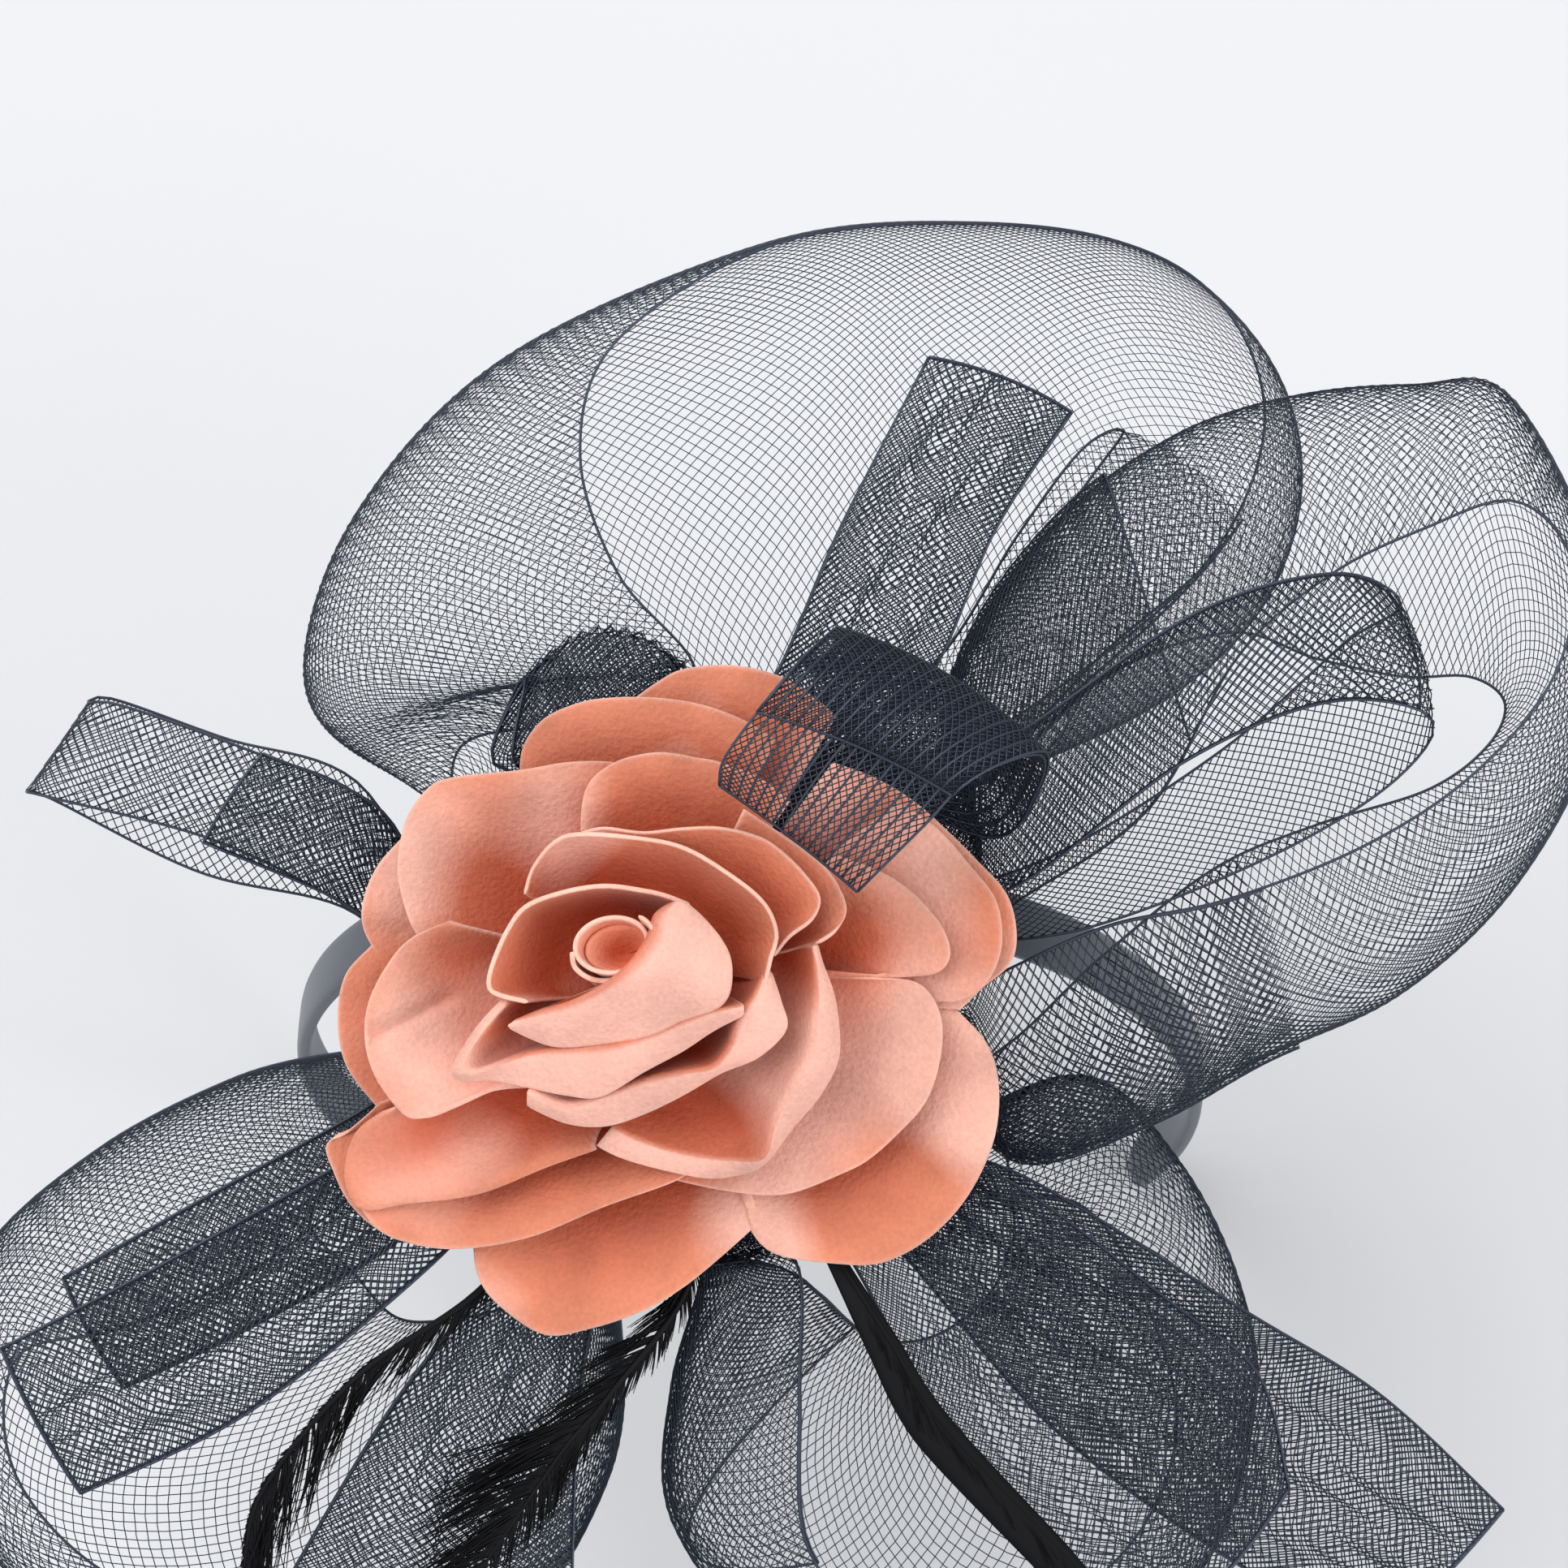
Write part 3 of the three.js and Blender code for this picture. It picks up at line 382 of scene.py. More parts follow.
CRIN = {
    "crin_halo": {
        "reach": 103, "thread": 0.78, "fades": 0.55, "start": (92, 158, 0), "end": (60, 48, 0),
        "rows": [
            [1, 42, 1, -37, 27, -3, -31, 22, -3], [-9, 54, 0, -50, 38, -9, -30, 32, -14],
            [-14, 70, -1, -46, 60, -13, -16, 34, -20], [-9, 85, -2, -26, 83, -15, -4, 32, -16],
            [12, 98, -5, 10, 99, -15, 12, 30, -14], [38, 101, -8, 38, 102, -16, 30, 30, -17],
            [60, 98, -10, 62, 98, -18, 46, 34, -26], [73, 89, -13, 80, 82, -20, 52, 36, -29],
            [78, 74, -20, 82, 62, -26, 50, 32, -29], [70, 56, -24, 66, 43, -27, 46, 29, -25],
            [48, 38, -20, 46, 33, -20, 40, 27, -18], [34, 31, -8, 35, 28, -9, 35, 25, -9]]},
    "crin_back_loop": {
        "reach": 100, "thread": 0.72, "start": (61, 47, 2), "end": (61, 47, 1),
        "rows": [
            [34, 44, -4, 39, 38, -5.5, 43, 32, -7], [45, 61, -6, 52, 54, -8, 58, 46, -11],
            [54, 73, -8, 62, 66, -10, 70, 56, -13], [60, 76, -11, 69, 72, -13, 77, 64, -16],
            [56, 70, -15, 63, 63, -17, 70, 55, -20], [44, 54, -13, 50, 49, -15, 56, 42, -18],
            [34, 40, -7, 38, 36, -8, 42, 31, -10]]},
    "crin_small_loop": {
        "reach": 45, "double": True, "start": (128, 100, 1), "end": (126, 104, 2),
        "rows": [
            [-58, 69, 8, -33, 82, 8, -7, 89, 8], [-47, 93, 13, -21, 108, 13, 0, 96, 13],
            [-51, 69, 18, -29, 80, 18, -7, 80, 18]]},
    "crin_left_loop": {
        "reach": 90, "start": (161, 176, 0), "end": (162, 175, 1),
        "rows": [
            [-50, 31, 1, -51, 22, 1, -52, 12, 1], [-69, 37, 1, -71, 27, 1, -73, 17, 1],
            [-86, 43, 2, -91, 35, 1, -95, 28, 2], [-89, 42, 6, -93, 36, 6, -98, 29, 6],
            [-84, 42, 9, -89, 35, 10, -93, 28, 9], [-64, 35, 9, -67, 28, 10, -70, 22, 9],
            [-48, 28, 6, -50, 21, 6, -52, 13, 6]]},
    "crin_left_tail": {
        "reach": 65, "double": True, "mesh": 0.85, "crushed": 0.35, "start": (161, 174, 2),
        "rows": [
            [-63, 37, 12, -68, 28, 12, -71, 18, 12], [-86, 48, 17, -92, 40, 18, -98, 30, 17]]},
    "crin_right_loop": {
        "reach": 120, "thread": 0.78, "lined": [(0, 0.26), (0.73, 1)],
        "start": (8, 43, 0), "end": (355, 336, 0),
        "rows": [
            [38, 10, 1, 31, 36, -1, 34, 23, -2], [52, 20, 1, 42, 52, -1, 48, 35, -7],
            [62, 37, 1, 55, 62, 0, 62, 40, -8], [72, 46, 3, 68, 66, 1, 72, 37, -8],
            [82, 51, 6, 82, 67, 1, 82, 35, -10], [92, 54, 8, 93, 66, 0, 90, 35, -11],
            [98, 47, 10, 103, 47, -2, 94, 32, -11], [96, 35, 11, 102, 28, -2, 92, 27, -11],
            [87, 24, 12, 93, 11, 1, 85, 22, -10], [75, 16, 12, 80, -1, 2, 72, 18, -8],
            [60, 10, 11, 65, -8, 2, 60, 13, -6], [47, 7, 8, 52, -15, 2, 47, 3, -4],
            [36, 2, 5, 37, -19, 1, 36, -7, -2]]},
    "crin_inner_loop": {
        "reach": 100, "lined": [(0.08, 0.5)], "start": (40, 26, 1), "end": (20, 9, 1),
        "rows": [
            [46, 35, 9, 45, 24, 9, 43, 13, 8], [68, 50, 12, 67, 40, 13, 66, 30, 12],
            [86, 55, 14, 86, 47, 15, 85, 38, 14], [95, 51, 12, 98, 44, 12, 99, 36, 11],
            [88, 46, 8, 92, 37, 8, 95, 28, 8], [72, 32, 8, 75, 25, 8, 79, 18, 8],
            [50, 18, 6, 52, 13, 6, 54, 8, 6]]},
    "crin_lower_left_loop": {
        "reach": 100, "thread": 0.85, "start": (206, 186, 0), "end": (243, 256, 0),
        "rows": [
            [-40, -24, 1, -45, -9, -1, -40, -14, -4], [-58, -38, 2, -62, -13, -6, -46, -22, -9],
            [-76, -46, 3, -82, -24, -8, -50, -28, -11], [-90, -50, 3, -99, -42, -9, -52, -34, -12],
            [-90, -66, 3, -102, -62, -9, -46, -40, -10], [-76, -80, 3, -90, -84, -9, -40, -46, -9],
            [-54, -84, 3, -60, -97, -8, -32, -46, -7], [-32, -78, 2, -30, -92, -6, -24, -44, -5],
            [-18, -62, 2, -12, -68, -4, -18, -42, -3], [-15, -44, 1, -9, -44, -1, -13, -40, -2]]},
    "crin_bottom_loop": {
        "reach": 95, "thread": 0.85, "lined": [(0.05, 0.3)], "start": (286, 264, 0), "end": (312, 331, 0),
        "rows": [
            [16, -40, 4, 2, -42, 2, 13, -40, 0], [16, -58, 7, -2, -58, 1, 19, -44, -1],
            [17, -78, 8, -1, -78, -1, 23, -48, -3], [27, -88, 6, 15, -95, -3, 27, -51, -4],
            [46, -91, 2, 42, -100, -5, 34, -51, -5], [63, -80, -1, 70, -86, -6, 40, -48, -6],
            [70, -63, -2, 80, -63, -7, 44, -44, -7], [65, -44, -2, 79, -44, -7, 46, -39, -7],
            [57, -32, -3, 70, -25, -6, 47, -34, -7], [46, -30, -3, 56, -13, -5, 44, -21, -7]]},
    "crin_top_curl": {
        "reach": 50, "lined": [(0, 0.84)], "mesh": 0.8, "thread": 1, "ribs": 15, "start": (62, 46, 3),
        "rows": [
            [34, 80, 24, 60, 64, 22, 82, 40, 20], [40, 92, 44, 70, 76, 42, 92, 52, 40],
            [38, 92, 64, 68, 80, 64, 92, 62, 60], [26, 80, 76, 52, 70, 78, 74, 56, 76],
            [12, 62, 74, 38, 54, 75, 62, 44, 74], [10, 54, 70, 28, 41, 71, 45, 27, 71]]},
    "crin_tail_top": {
        **TAIL, "reach": 90, "start": (88, 68, 0),
        "rows": [
            [12, 44, 6, 23, 44, 6, 34, 43, 6], [23, 68, 10, 35, 69, 10, 46, 68, 10],
            [36, 93, 13, 47, 90, 13, 57, 85, 12]]},
    "crin_tail_lower_right": {
        **TAIL, "reach": 100, "thread": 1, "start": (298, 320, 2.6),
        "rows": [
            [22, -36, 8, 32, -31, 8, 42, -25, 8], [36, -61, 11, 50, -53, 11, 65, -42, 10],
            [47, -75, 12, 62, -66, 12, 76, -51, 12], [60, -88, 12, 71, -78, 12, 80, -66, 12]]},
    "crin_tail_far_right": {
        **TAIL, "reach": 110, "start": (302, 324, 1),
        "rows": [
            [25, -31, 4, 34, -27, 4, 41, -23, 4], [44, -53, 4, 56, -47, 4, 69, -40, 4],
            [65, -69, 3, 76, -60, 3, 85, -50, 3], [85, -80, 2, 93, -72, 2, 100, -64, 2]]},
    "crin_tail_upper_left": {
        **TAIL, "reach": 90, "start": (197, 217, 1),
        "rows": [
            [-49, -19, 6, -46, -29, 7, -42, -37, 6], [-69, -30, 8, -67, -40, 9, -64, -50, 8],
            [-92, -43, 9, -88, -51, 10, -83, -59, 9]]},
    "crin_tail_lower_left": {
        **TAIL, "reach": 95, "start": (205, 227, 2.8),
        "rows": [
            [-47, -24, 10, -42, -32, 11, -36, -39, 10], [-72, -38, 12, -67, -49, 13, -61, -59, 12],
            [-95, -50, 13, -90, -60, 14, -84, -70, 13]]},
    "crin_tail_bottom": {
        **TAIL, "reach": 90, "start": (233, 251, 1),
        "rows": [
            [-27, -41, 5, -20, -43, 6, -13, -44, 5], [-44, -63, 7, -30, -64, 8, -16, -64, 7],
            [-63, -95, 7, -40, -98, 8, -17, -97, 7]]},
}


def root_rows(near, far, level, layers):
    """Two rows that hold a gathered end on the base: arcs at the inner and the outer root radius."""
    angle = np.radians([near, (near + far) / 2, far])
    z = STACK_GAP + level * (NET_WALL + STACK_GAP) + NET_WALL * layers / 2
    return [np.stack([r * np.cos(angle), r * np.sin(angle), z + 0 * angle], -1).ravel()
            for r in (ROOT_INNER, ROOT_OUTER)]


def crin_surface(piece):
    """The band's surface of u along and v across: a parabola from selvedge over crown to selvedge,
    with the crown at its share of the two chords, and the three carried along by the spline. Steps of u
    are even along the crown's length. It comes with the band's length and width when laid flat."""
    rows = [*root_rows(*piece["start"], piece["layers"]), *(np.array(piece["rows"]) * piece["reach"] / 100)]
    if "end" in piece:
        rows += root_rows(*piece["end"], piece["layers"])[::-1]
    rows = np.array(rows, float)
    tries = np.linspace(0, 1, TRIES)
    lines = spline(rows, tries).reshape(-1, 3, 3)
    walked = np.linalg.norm(np.diff(lines, axis=0), axis=-1).mean(1)
    walked = np.concatenate([[0], np.cumsum(walked)])
    chords = np.linalg.norm(np.diff(lines, axis=1), axis=-1)
    width = np.percentile(chords.sum(1), 80)

    def surface(u, v):
        section = spline(rows, np.interp(u, walked / walked[-1], tries))
        near, crown, far = section[..., :3], section[..., 3:6], section[..., 6:]
        before = np.linalg.norm(near - crown, axis=-1)
        middle = (before / (before + np.linalg.norm(crown - far, axis=-1)))[..., None]
        v = v[..., None]
        return (near * (v - middle) * (v - 1) / middle + crown * v * (v - 1) / (middle * (middle - 1))
                + far * v * (v - middle) / (1 - middle))

    return surface, walked[-1], width


def crin_threads(surface, length, width, pitch, radius, step, lift, shift, fades, crushed):
    """Two families of threads at 45 degrees over the flat band. A thread of the first family keeps
    along minus across the same, one of the second along plus across. Each runs from edge to edge, and
    the families lie one thread's radius above and below the surface. In crushed net the threads are
    moved across by two sine waves of their place, which die out at the edges and differ by layer."""
    parts = []
    step = step / 2 if crushed else step
    for sign in (1, -1):
        low = -width if sign > 0 else 0
        start = np.arange(low + shift, low + length + width, pitch * math.sqrt(2))
        enter = np.maximum(0, -start) if sign > 0 else np.maximum(0, start - length)
        leave = np.minimum(width, length - start) if sign > 0 else np.minimum(width, start)
        long_enough = leave - enter > 1
        start, enter, leave = start[long_enough], enter[long_enough], leave[long_enough]
        steps = max(4, math.ceil(width * math.sqrt(2) / step))
        across = enter[:, None] + (leave - enter)[:, None] * np.linspace(0, 1, steps + 1)
        along = start[:, None] + sign * across
        over, slant = across / CRUSH_WAVE, along / CRUSH_SLANT
        waves = (np.sin(over + slant + shift * LAYER_PHASES[0])
                 + np.sin(over * CRUSH_SECOND[0] - slant * CRUSH_SECOND[1] + shift * LAYER_PHASES[1]))
        across = across + crushed * waves * np.sin(np.pi * across / width)
        u, v = np.clip(along / length, 0, 1), np.clip(across / width, 0, 1)
        normals = surface_normals(surface, u, v)
        paths = surface(u, v) + normals * (lift + sign * radius * WEAVE)
        local = np.linalg.norm(surface(u, 0 * v + 1) - surface(u, 0 * v), axis=-1)
        thinned = np.where(u > fades, np.clip(local / width, THINNEST, 1), 1)
        parts.append(tubes(paths, normals, radius * thinned, THREAD_SIDES))
    return parts


def crin_edges(surface, length, edge, rib, lift, cut, ribs):
    """Cords along both selvedges, thinner ones as ribs between them, and one across a cut end."""
    u = np.linspace(0, 1, max(12, int(length / EDGE_STEP)))
    lines = [(u, 0 * u + share, rib) for share in np.linspace(0, 1, ribs + 2)[1:-1]]
    lines += [(u, 0 * u, edge), (u, 0 * u + 1, edge)]
    if cut:
        v = np.linspace(0, 1, CUT_STEPS)
        lines.append((0 * v + 1, v, edge))
    parts = []
    for along, across, radius in lines:
        normals = surface_normals(surface, along, across)
        path = surface(along, across) + normals * lift
        parts.append(tubes(path[None], normals[None], radius, EDGE_SIDES))
    return parts


def build_crin(scene, names):
    """Nets every named piece. A doubled net is two layers, one above and one below its surface."""
    crin = scene.fascinator_crin
    material = crin_material(scene)
    edge = crin.selvedge / 2 / MM
    for name in names:
        piece = {**PLAIN, **CRIN[name]}
        surface, length, width = crin_surface(piece)
        pitch = crin.pitch / MM * piece["mesh"]
        radius = crin.thread / 2 / MM * piece["thread"]
        apart = crin.apart / MM if piece["layers"] == 2 else FOLD_APART
        single = piece["layers"] == 1 and not piece["double"]
        spans = [(0, 1, 0)] if single else [(0, 1, -apart / 2), (0, 1, apart / 2)]
        spans += [(*span, FOLD_APART) for span in piece["lined"]]
        parts = []
        for k, (start, end, lift) in enumerate(spans):
            def stretch(u, v, start=start, end=end):
                return surface(start + (end - start) * u, v)
            reach = length * (end - start)
            parts += crin_threads(
                stretch, reach, width, pitch, radius, crin.step / MM, lift, k * pitch * LAYER_SHIFT,
                piece["fades"], piece["crushed"])
            cut = "end" not in piece or end - start < 1
            parts += crin_edges(stretch, reach, edge, radius * RIB, lift, cut, piece["ribs"])
        net = make_piece(name + "_net", parts_to_row(scene, parts), material, [name])


# Rose. Each petal is named for its CAD node. lip: its free edge, anticlockwise, x y z in mm as seen
# from the camera at the rose's middle height. foot: from angle, to angle and height on the core. ridge:
# the last bend before the lip, point for point with it, or its share of the way out and its rise. folds:
# the lip folds over along the ridge.

EYE = (13.2, 27.2, 585)
ROSE_MIDDLE = 25
SEAT_GAP = 0.3
CORE_TAPER = 0.25
PETAL_ROWS = 30
PETAL_COLUMNS = 56
FOLD_AT = 0.68
FOLD_RISE = 0.9
FOLDED_BEND = (0.8, 0.8, 0.2)
PLAIN_BEND = (0.55, 0.55, 0.08)
WAVE_HEIGHTS = (0.12, 0.3)
WAVES = (2.0, 3.7, 6.1)
RIM_CROWDING = 1.35
RIM_FADE = 0.35
FOLD_FADE = 0.05
HEM = {"swell": 0.35, "fade": 0.8, "edge": 0.15, "full": 0.3}
CREASE = {"from": (-40.5, -5.8), "to": (-31, -0.8), "depth": 1.1, "width": 0.9}

PETALS = {
    "rose_petal_01": {"foot": (225, 290, 9), "ridge": (0.8, 0.8), "lip": [
        (-27, -31, 14), (-26.5, -36, 14), (-24, -40, 14), (-18, -44, 14), (-12, -43.3, 14), (-5, -41, 14),
        (0, -38, 14), (5, -34, 14), (9.5, -30, 14)]},
    "rose_petal_02": {"foot": (285, 352, 9.5), "ridge": (0.8, 1.6), "lip": [
        (9.5, -27, 14), (9, -30, 14), (12, -33.5, 14), (20, -34.8, 14), (26, -34.7, 14), (32, -31.5, 14),
        (37, -26, 14), (40.3, -19, 14.5), (41, -12, 15), (39.5, -6.5, 15), (35.5, -2, 15)]},
    "rose_petal_03": {"foot": (350, 425, 11), "ridge": (0.8, 0.8), "lip": [
        (36, -2, 15), (39, 1, 15.5), (42.5, 4, 16), (43.3, 8, 16.5), (42, 13, 17), (38, 17.5, 17),
        (34.5, 21, 17), (30, 25, 17), (25, 28, 17), (19.5, 30, 16.5)]},
    "rose_petal_04": {"foot": (60, 125, 11), "ridge": (0.8, 1), "lip": [
        (20, 36, 15), (15, 40, 15), (10, 42, 15), (5, 42.6, 15), (0, 42, 15), (-3, 40.5, 15),
        (-6.5, 38, 15), (-10, 35, 15)]},
    "rose_petal_05": {"foot": (140, 182, 10.5), "ridge": (0.8, 1), "lip": [
        (-33, 24, 14), (-36, 20.5, 14), (-39.5, 16.5, 14), (-41.2, 12, 14), (-41, 8, 14), (-38, 3, 14)]},
    "rose_petal_06": {"foot": (165, 215, 10), "ridge": (0.8, 1.5), "lip": [
        (-36, 11, 14), (-40, 6.5, 14), (-43.5, 2.5, 14), (-44.5, -3, 14), (-43.5, -9, 14), (-40, -14, 14),
        (-36, -18, 14)]},
    "rose_petal_07": {"foot": (205, 272, 12), "ridge": (0.8, 0.5), "lip": [
        (-43, -24, 17), (-41, -28.5, 16.5), (-37.5, -31.5, 16.5), (-30, -33, 17), (-20, -31.5, 18),
        (-10, -27.5, 19), (-1, -24.2, 20), (2, -22, 20)]},
    "rose_petal_08": {"foot": (195, 240, 9.5), "ridge": (0.8, 0.5), "lip": [
        (-39, -14, 15), (-43, -17.5, 14.5), (-46, -19.5, 14.5), (-45, -23, 14.5), (-43, -27, 14.5),
        (-40, -30, 14.5), (-36, -32, 14.5), (-30, -32, 15)]},
    "rose_petal_09": {"foot": (350, 405, 13), "ridge": (0.8, 1), "lip": [
        (35, -1, 17), (39, 1, 18), (41.3, 6, 18.5), (40.7, 12, 19), (37, 17, 19.5), (33, 21.5, 20),
        (28, 25, 20)]},
    "rose_petal_10": {"foot": (70, 130, 13), "ridge": (0.8, 1), "lip": [
        (12, 33, 18), (7.5, 35.7, 18.5), (2, 37.6, 18.5), (-4, 38.4, 18.5), (-10, 38.3, 18.5),
        (-14, 37.5, 18), (-18, 35.5, 17.5), (-20.5, 32, 17), (-21, 28, 17)]},
    "rose_petal_11": {"foot": (10, 70, 19), "ridge": (0.8, -0.5), "lip": [
        (17.3, 6.5, 26), (20, 8.3, 26.5), (21.3, 10.8, 27), (20.3, 14, 27), (18, 17, 27), (14, 20, 26.5),
        (8, 24, 26)]},
    "rose_petal_12": {"foot": (195, 245, 14), "ridge": [
        (-38, -15, 20.5), (-41, -18, 20), (-42.3, -22, 19.5), (-41.5, -25, 19.5), (-38.5, -25.8, 20),
        (-33, -25, 20.5), (-27, -23.8, 21), (-21, -21.6, 21.5), (-16, -19.2, 22), (-12.2, -18.8, 22)],
        "lip": [
            (-38, -15, 19), (-42, -18, 18), (-43.5, -23, 17.5), (-42.5, -26.8, 17.5), (-40.5, -27.8, 17.5),
            (-36, -27, 18), (-30, -26.4, 18.5), (-25, -25.3, 19), (-18, -22.5, 20), (-11, -20, 21)]},
    "rose_petal_13": {"foot": (285, 372, 16), "ridge": (0.8, 0.3), "lip": [
        (-1, -24, 18), (5, -25.3, 17.5), (11, -26, 17.5), (15, -25.5, 17.5), (20, -23.5, 17.5),
        (24, -21.5, 17.5), (28, -18, 18), (31.5, -14, 18.5), (33.3, -9, 19), (33.7, -4, 19.5),
        (32.5, -0.5, 20), (30, 1.7, 20), (25, 2.2, 20)]},
    "rose_petal_14": {"foot": (0, 50, 14.5), "ridge": (0.8, 0.5), "lip": [
        (18, 3, 20), (25, 2.5, 20), (30, 2.6, 20.5), (33.5, 3.2, 21), (34.7, 5.5, 21.5), (33.5, 9, 22),
        (30, 13, 22.5), (26, 15.7, 22.5), (20, 18, 22)]},
    "rose_petal_15": {"foot": (105, 170, 14.5), "ridge": (0.8, 1.2), "lip": [
        (-6, 29.5, 21), (-10, 30.1, 21), (-15, 30, 20.5), (-21, 29, 20), (-30, 28, 19), (-33, 26.5, 18.5),
        (-35.5, 23, 18), (-36.7, 18, 18), (-36.5, 14, 18), (-35, 9, 19), (-33, 6, 20)]},
    "rose_petal_16": {"foot": (160, 232, 16), "ridge": (0.8, 1.5), "crease": True, "lip": [
        (-30, 9.5, 23), (-35, 7.3, 22), (-38, 4, 21), (-40.5, -1, 20.5), (-41, -6, 20), (-39.5, -11, 20),
        (-36, -15.5, 20), (-33.5, -16, 20.5), (-30, -14.7, 21.5), (-25, -12.6, 23), (-20, -12, 24)]},
    "rose_petal_17": {"foot": (245, 385, 19), "folds": True, "ridge": [
        (-9, -17, 25), (-6, -18.5, 24.5), (-2, -20, 24), (3, -21, 23.5), (6.5, -21.3, 24), (10.5, -21, 26),
        (11.8, -16.5, 27), (14, -12, 28), (16.3, -8, 29), (17, -4, 29.5), (17.4, 0, 29.5), (17.3, 3.5, 29),
        (17, 6.3, 28)], "lip": [
        (-11, -19.5, 24), (-8, -21, 23.5), (-3, -22.5, 23), (3, -23.7, 22.5), (7, -23.3, 22.5),
        (10.5, -21.8, 23), (14, -17.5, 24), (17.5, -13.5, 25), (20, -9, 26), (20.3, -5, 26.5),
        (19.5, 0, 27), (18, 4, 27), (17.3, 6.5, 27)]},
    "rose_petal_18": {"foot": (60, 125, 16.5), "ridge": (0.8, 0.6), "lip": [
        (14, 25, 21), (10, 28, 22), (5, 30, 23), (2, 30.6, 23), (-3, 31.3, 24), (-8, 30.3, 24),
        (-11.5, 28, 24), (-12.8, 25, 23), (-13, 21, 22)]},
    "rose_petal_19": {"foot": (175, 350, 24), "folds": True, "ridge": [
        (-22.5, -1, 33.5), (-25.5, -4.8, 33), (-28, -9, 32.5), (-26.5, -9.9, 32.5), (-22, -8.3, 33),
        (-18, -7.2, 33.3), (-13, -6.8, 33.5), (-8, -6.2, 34), (-3, -4.7, 34.5), (1, -3, 35), (4.5, -2, 35),
        (8, -1.5, 34.5)], "lip": [
        (-23, -0.7, 33), (-26.5, -4.5, 31.5), (-29.5, -9.5, 31), (-28.5, -11, 30.5), (-25, -11, 30.5),
        (-20, -12, 30.5), (-15, -13, 30.5), (-10.5, -13.2, 31), (-5, -10, 31.5), (0, -7.3, 32),
        (4, -4.6, 33), (8, -2.5, 33.5)]},
    "rose_petal_20": {"foot": (210, 380, 22), "folds": True, "ridge": [
        (-20, -12.5, 31), (-15, -14.3, 30.5), (-10, -12.7, 30.5), (-5, -11, 30.5), (0, -10, 31),
        (4, -9.3, 31.5), (6.2, -6.5, 32), (7, -3, 32.5), (9, -0.5, 32.5), (10.8, 2.8, 32)], "lip": [
        (-20, -14.3, 29), (-15, -16.5, 28), (-10, -17, 28), (-5, -15.5, 28), (0, -13, 28), (5, -10, 28.5),
        (10, -8, 29), (13.5, -4.5, 29.5), (12.8, -1, 30), (11.3, 3, 31)]},
    "rose_petal_21": {"foot": (20, 120, 21), "ridge": (0.85, -1), "lip": [
        (12, 5, 29), (14, 7.5, 29.5), (17, 9.8, 30), (17.9, 12.5, 30), (16, 15.5, 30), (13, 18.5, 30),
        (10, 20.4, 30), (5, 21.6, 30), (0, 21.5, 30), (-5, 21, 30), (-10, 21.6, 30), (-13, 21, 29.5)]},
    "rose_petal_22": {"foot": (5, 150, 24), "ridge": (0.9, -1.5), "lip": [
        (10.8, 1.5, 32), (11.5, 4.5, 33), (12.3, 8, 33.5), (10.5, 12, 34), (5.5, 16, 34), (0, 19.1, 34),
        (-6, 20.3, 34), (-13, 20.8, 33.5), (-16.5, 19.8, 33), (-19.3, 16.5, 33), (-20.4, 13, 33)]},
    "rose_petal_23": {"foot": (180, 300, 27.5), "ridge": (1, -1), "lip": [
        (-14.2, 5.5, 39.5), (-13.8, 3.4, 39), (-11.5, 1.9, 38.8), (-9, 1.9, 39), (-7, 3.2, 39.5)]},
    "rose_petal_24": {"foot": (60, 215, 26), "ridge": (0.95, -2), "lip": [
        (1, 11.5, 37), (-2, 12.7, 37), (-5, 13.4, 37), (-10, 14, 37), (-15, 13.3, 36.5), (-20, 11.5, 36),
        (-22.5, 8.5, 36), (-24.5, 4, 35.5), (-25, 1, 35.5), (-23.5, -0.2, 35.5), (-20, -1, 36)]},
    "rose_petal_25": {"foot": (200, 420, 28), "folds": True, "ridge": [
        (-22, -3.8, 35.5), (-18.5, -2.3, 37), (-14, -0.9, 38.5), (-10, 1.3, 40), (-7.5, 3.3, 41),
        (-6, 5, 41), (-4.8, 6.8, 41), (-4.2, 8, 41), (-3.9, 9, 41), (-3.5, 10.2, 40.5), (-2.3, 11.2, 39.5),
        (-0.5, 12, 38.5)], "lip": [
        (-22.5, -4, 35), (-19.5, -5.7, 34), (-16, -6.8, 33.5), (-10, -6.4, 33.5), (-4, -5.5, 34),
        (0, -4.1, 34), (4, -2.3, 34.5), (6.1, 0, 35), (6.4, 4, 35.5), (5.2, 7, 36), (3, 9.6, 37),
        (0, 12, 38)]},
}


def lean(scene, points):
    """The rose leans by the square of the height's share of its whole height."""
    rose = scene.fascinator_rose
    share = (points[..., 2] * MM / rose.height) ** 2
    return points + np.stack([-rose.lean_left / MM * share, rose.lean_up / MM * share, 0 * share], -1)


def at_height(points):
    """Points seen at the rose's middle height slide along the line to the camera to their own height."""
    points, eye = np.array(points, float), np.array(EYE, float)
    points[:, :2] = eye[:2] + (points[:, :2] - eye[:2]) * (eye[2] - points[:, 2:]) / (eye[2] - ROSE_MIDDLE)
    return points


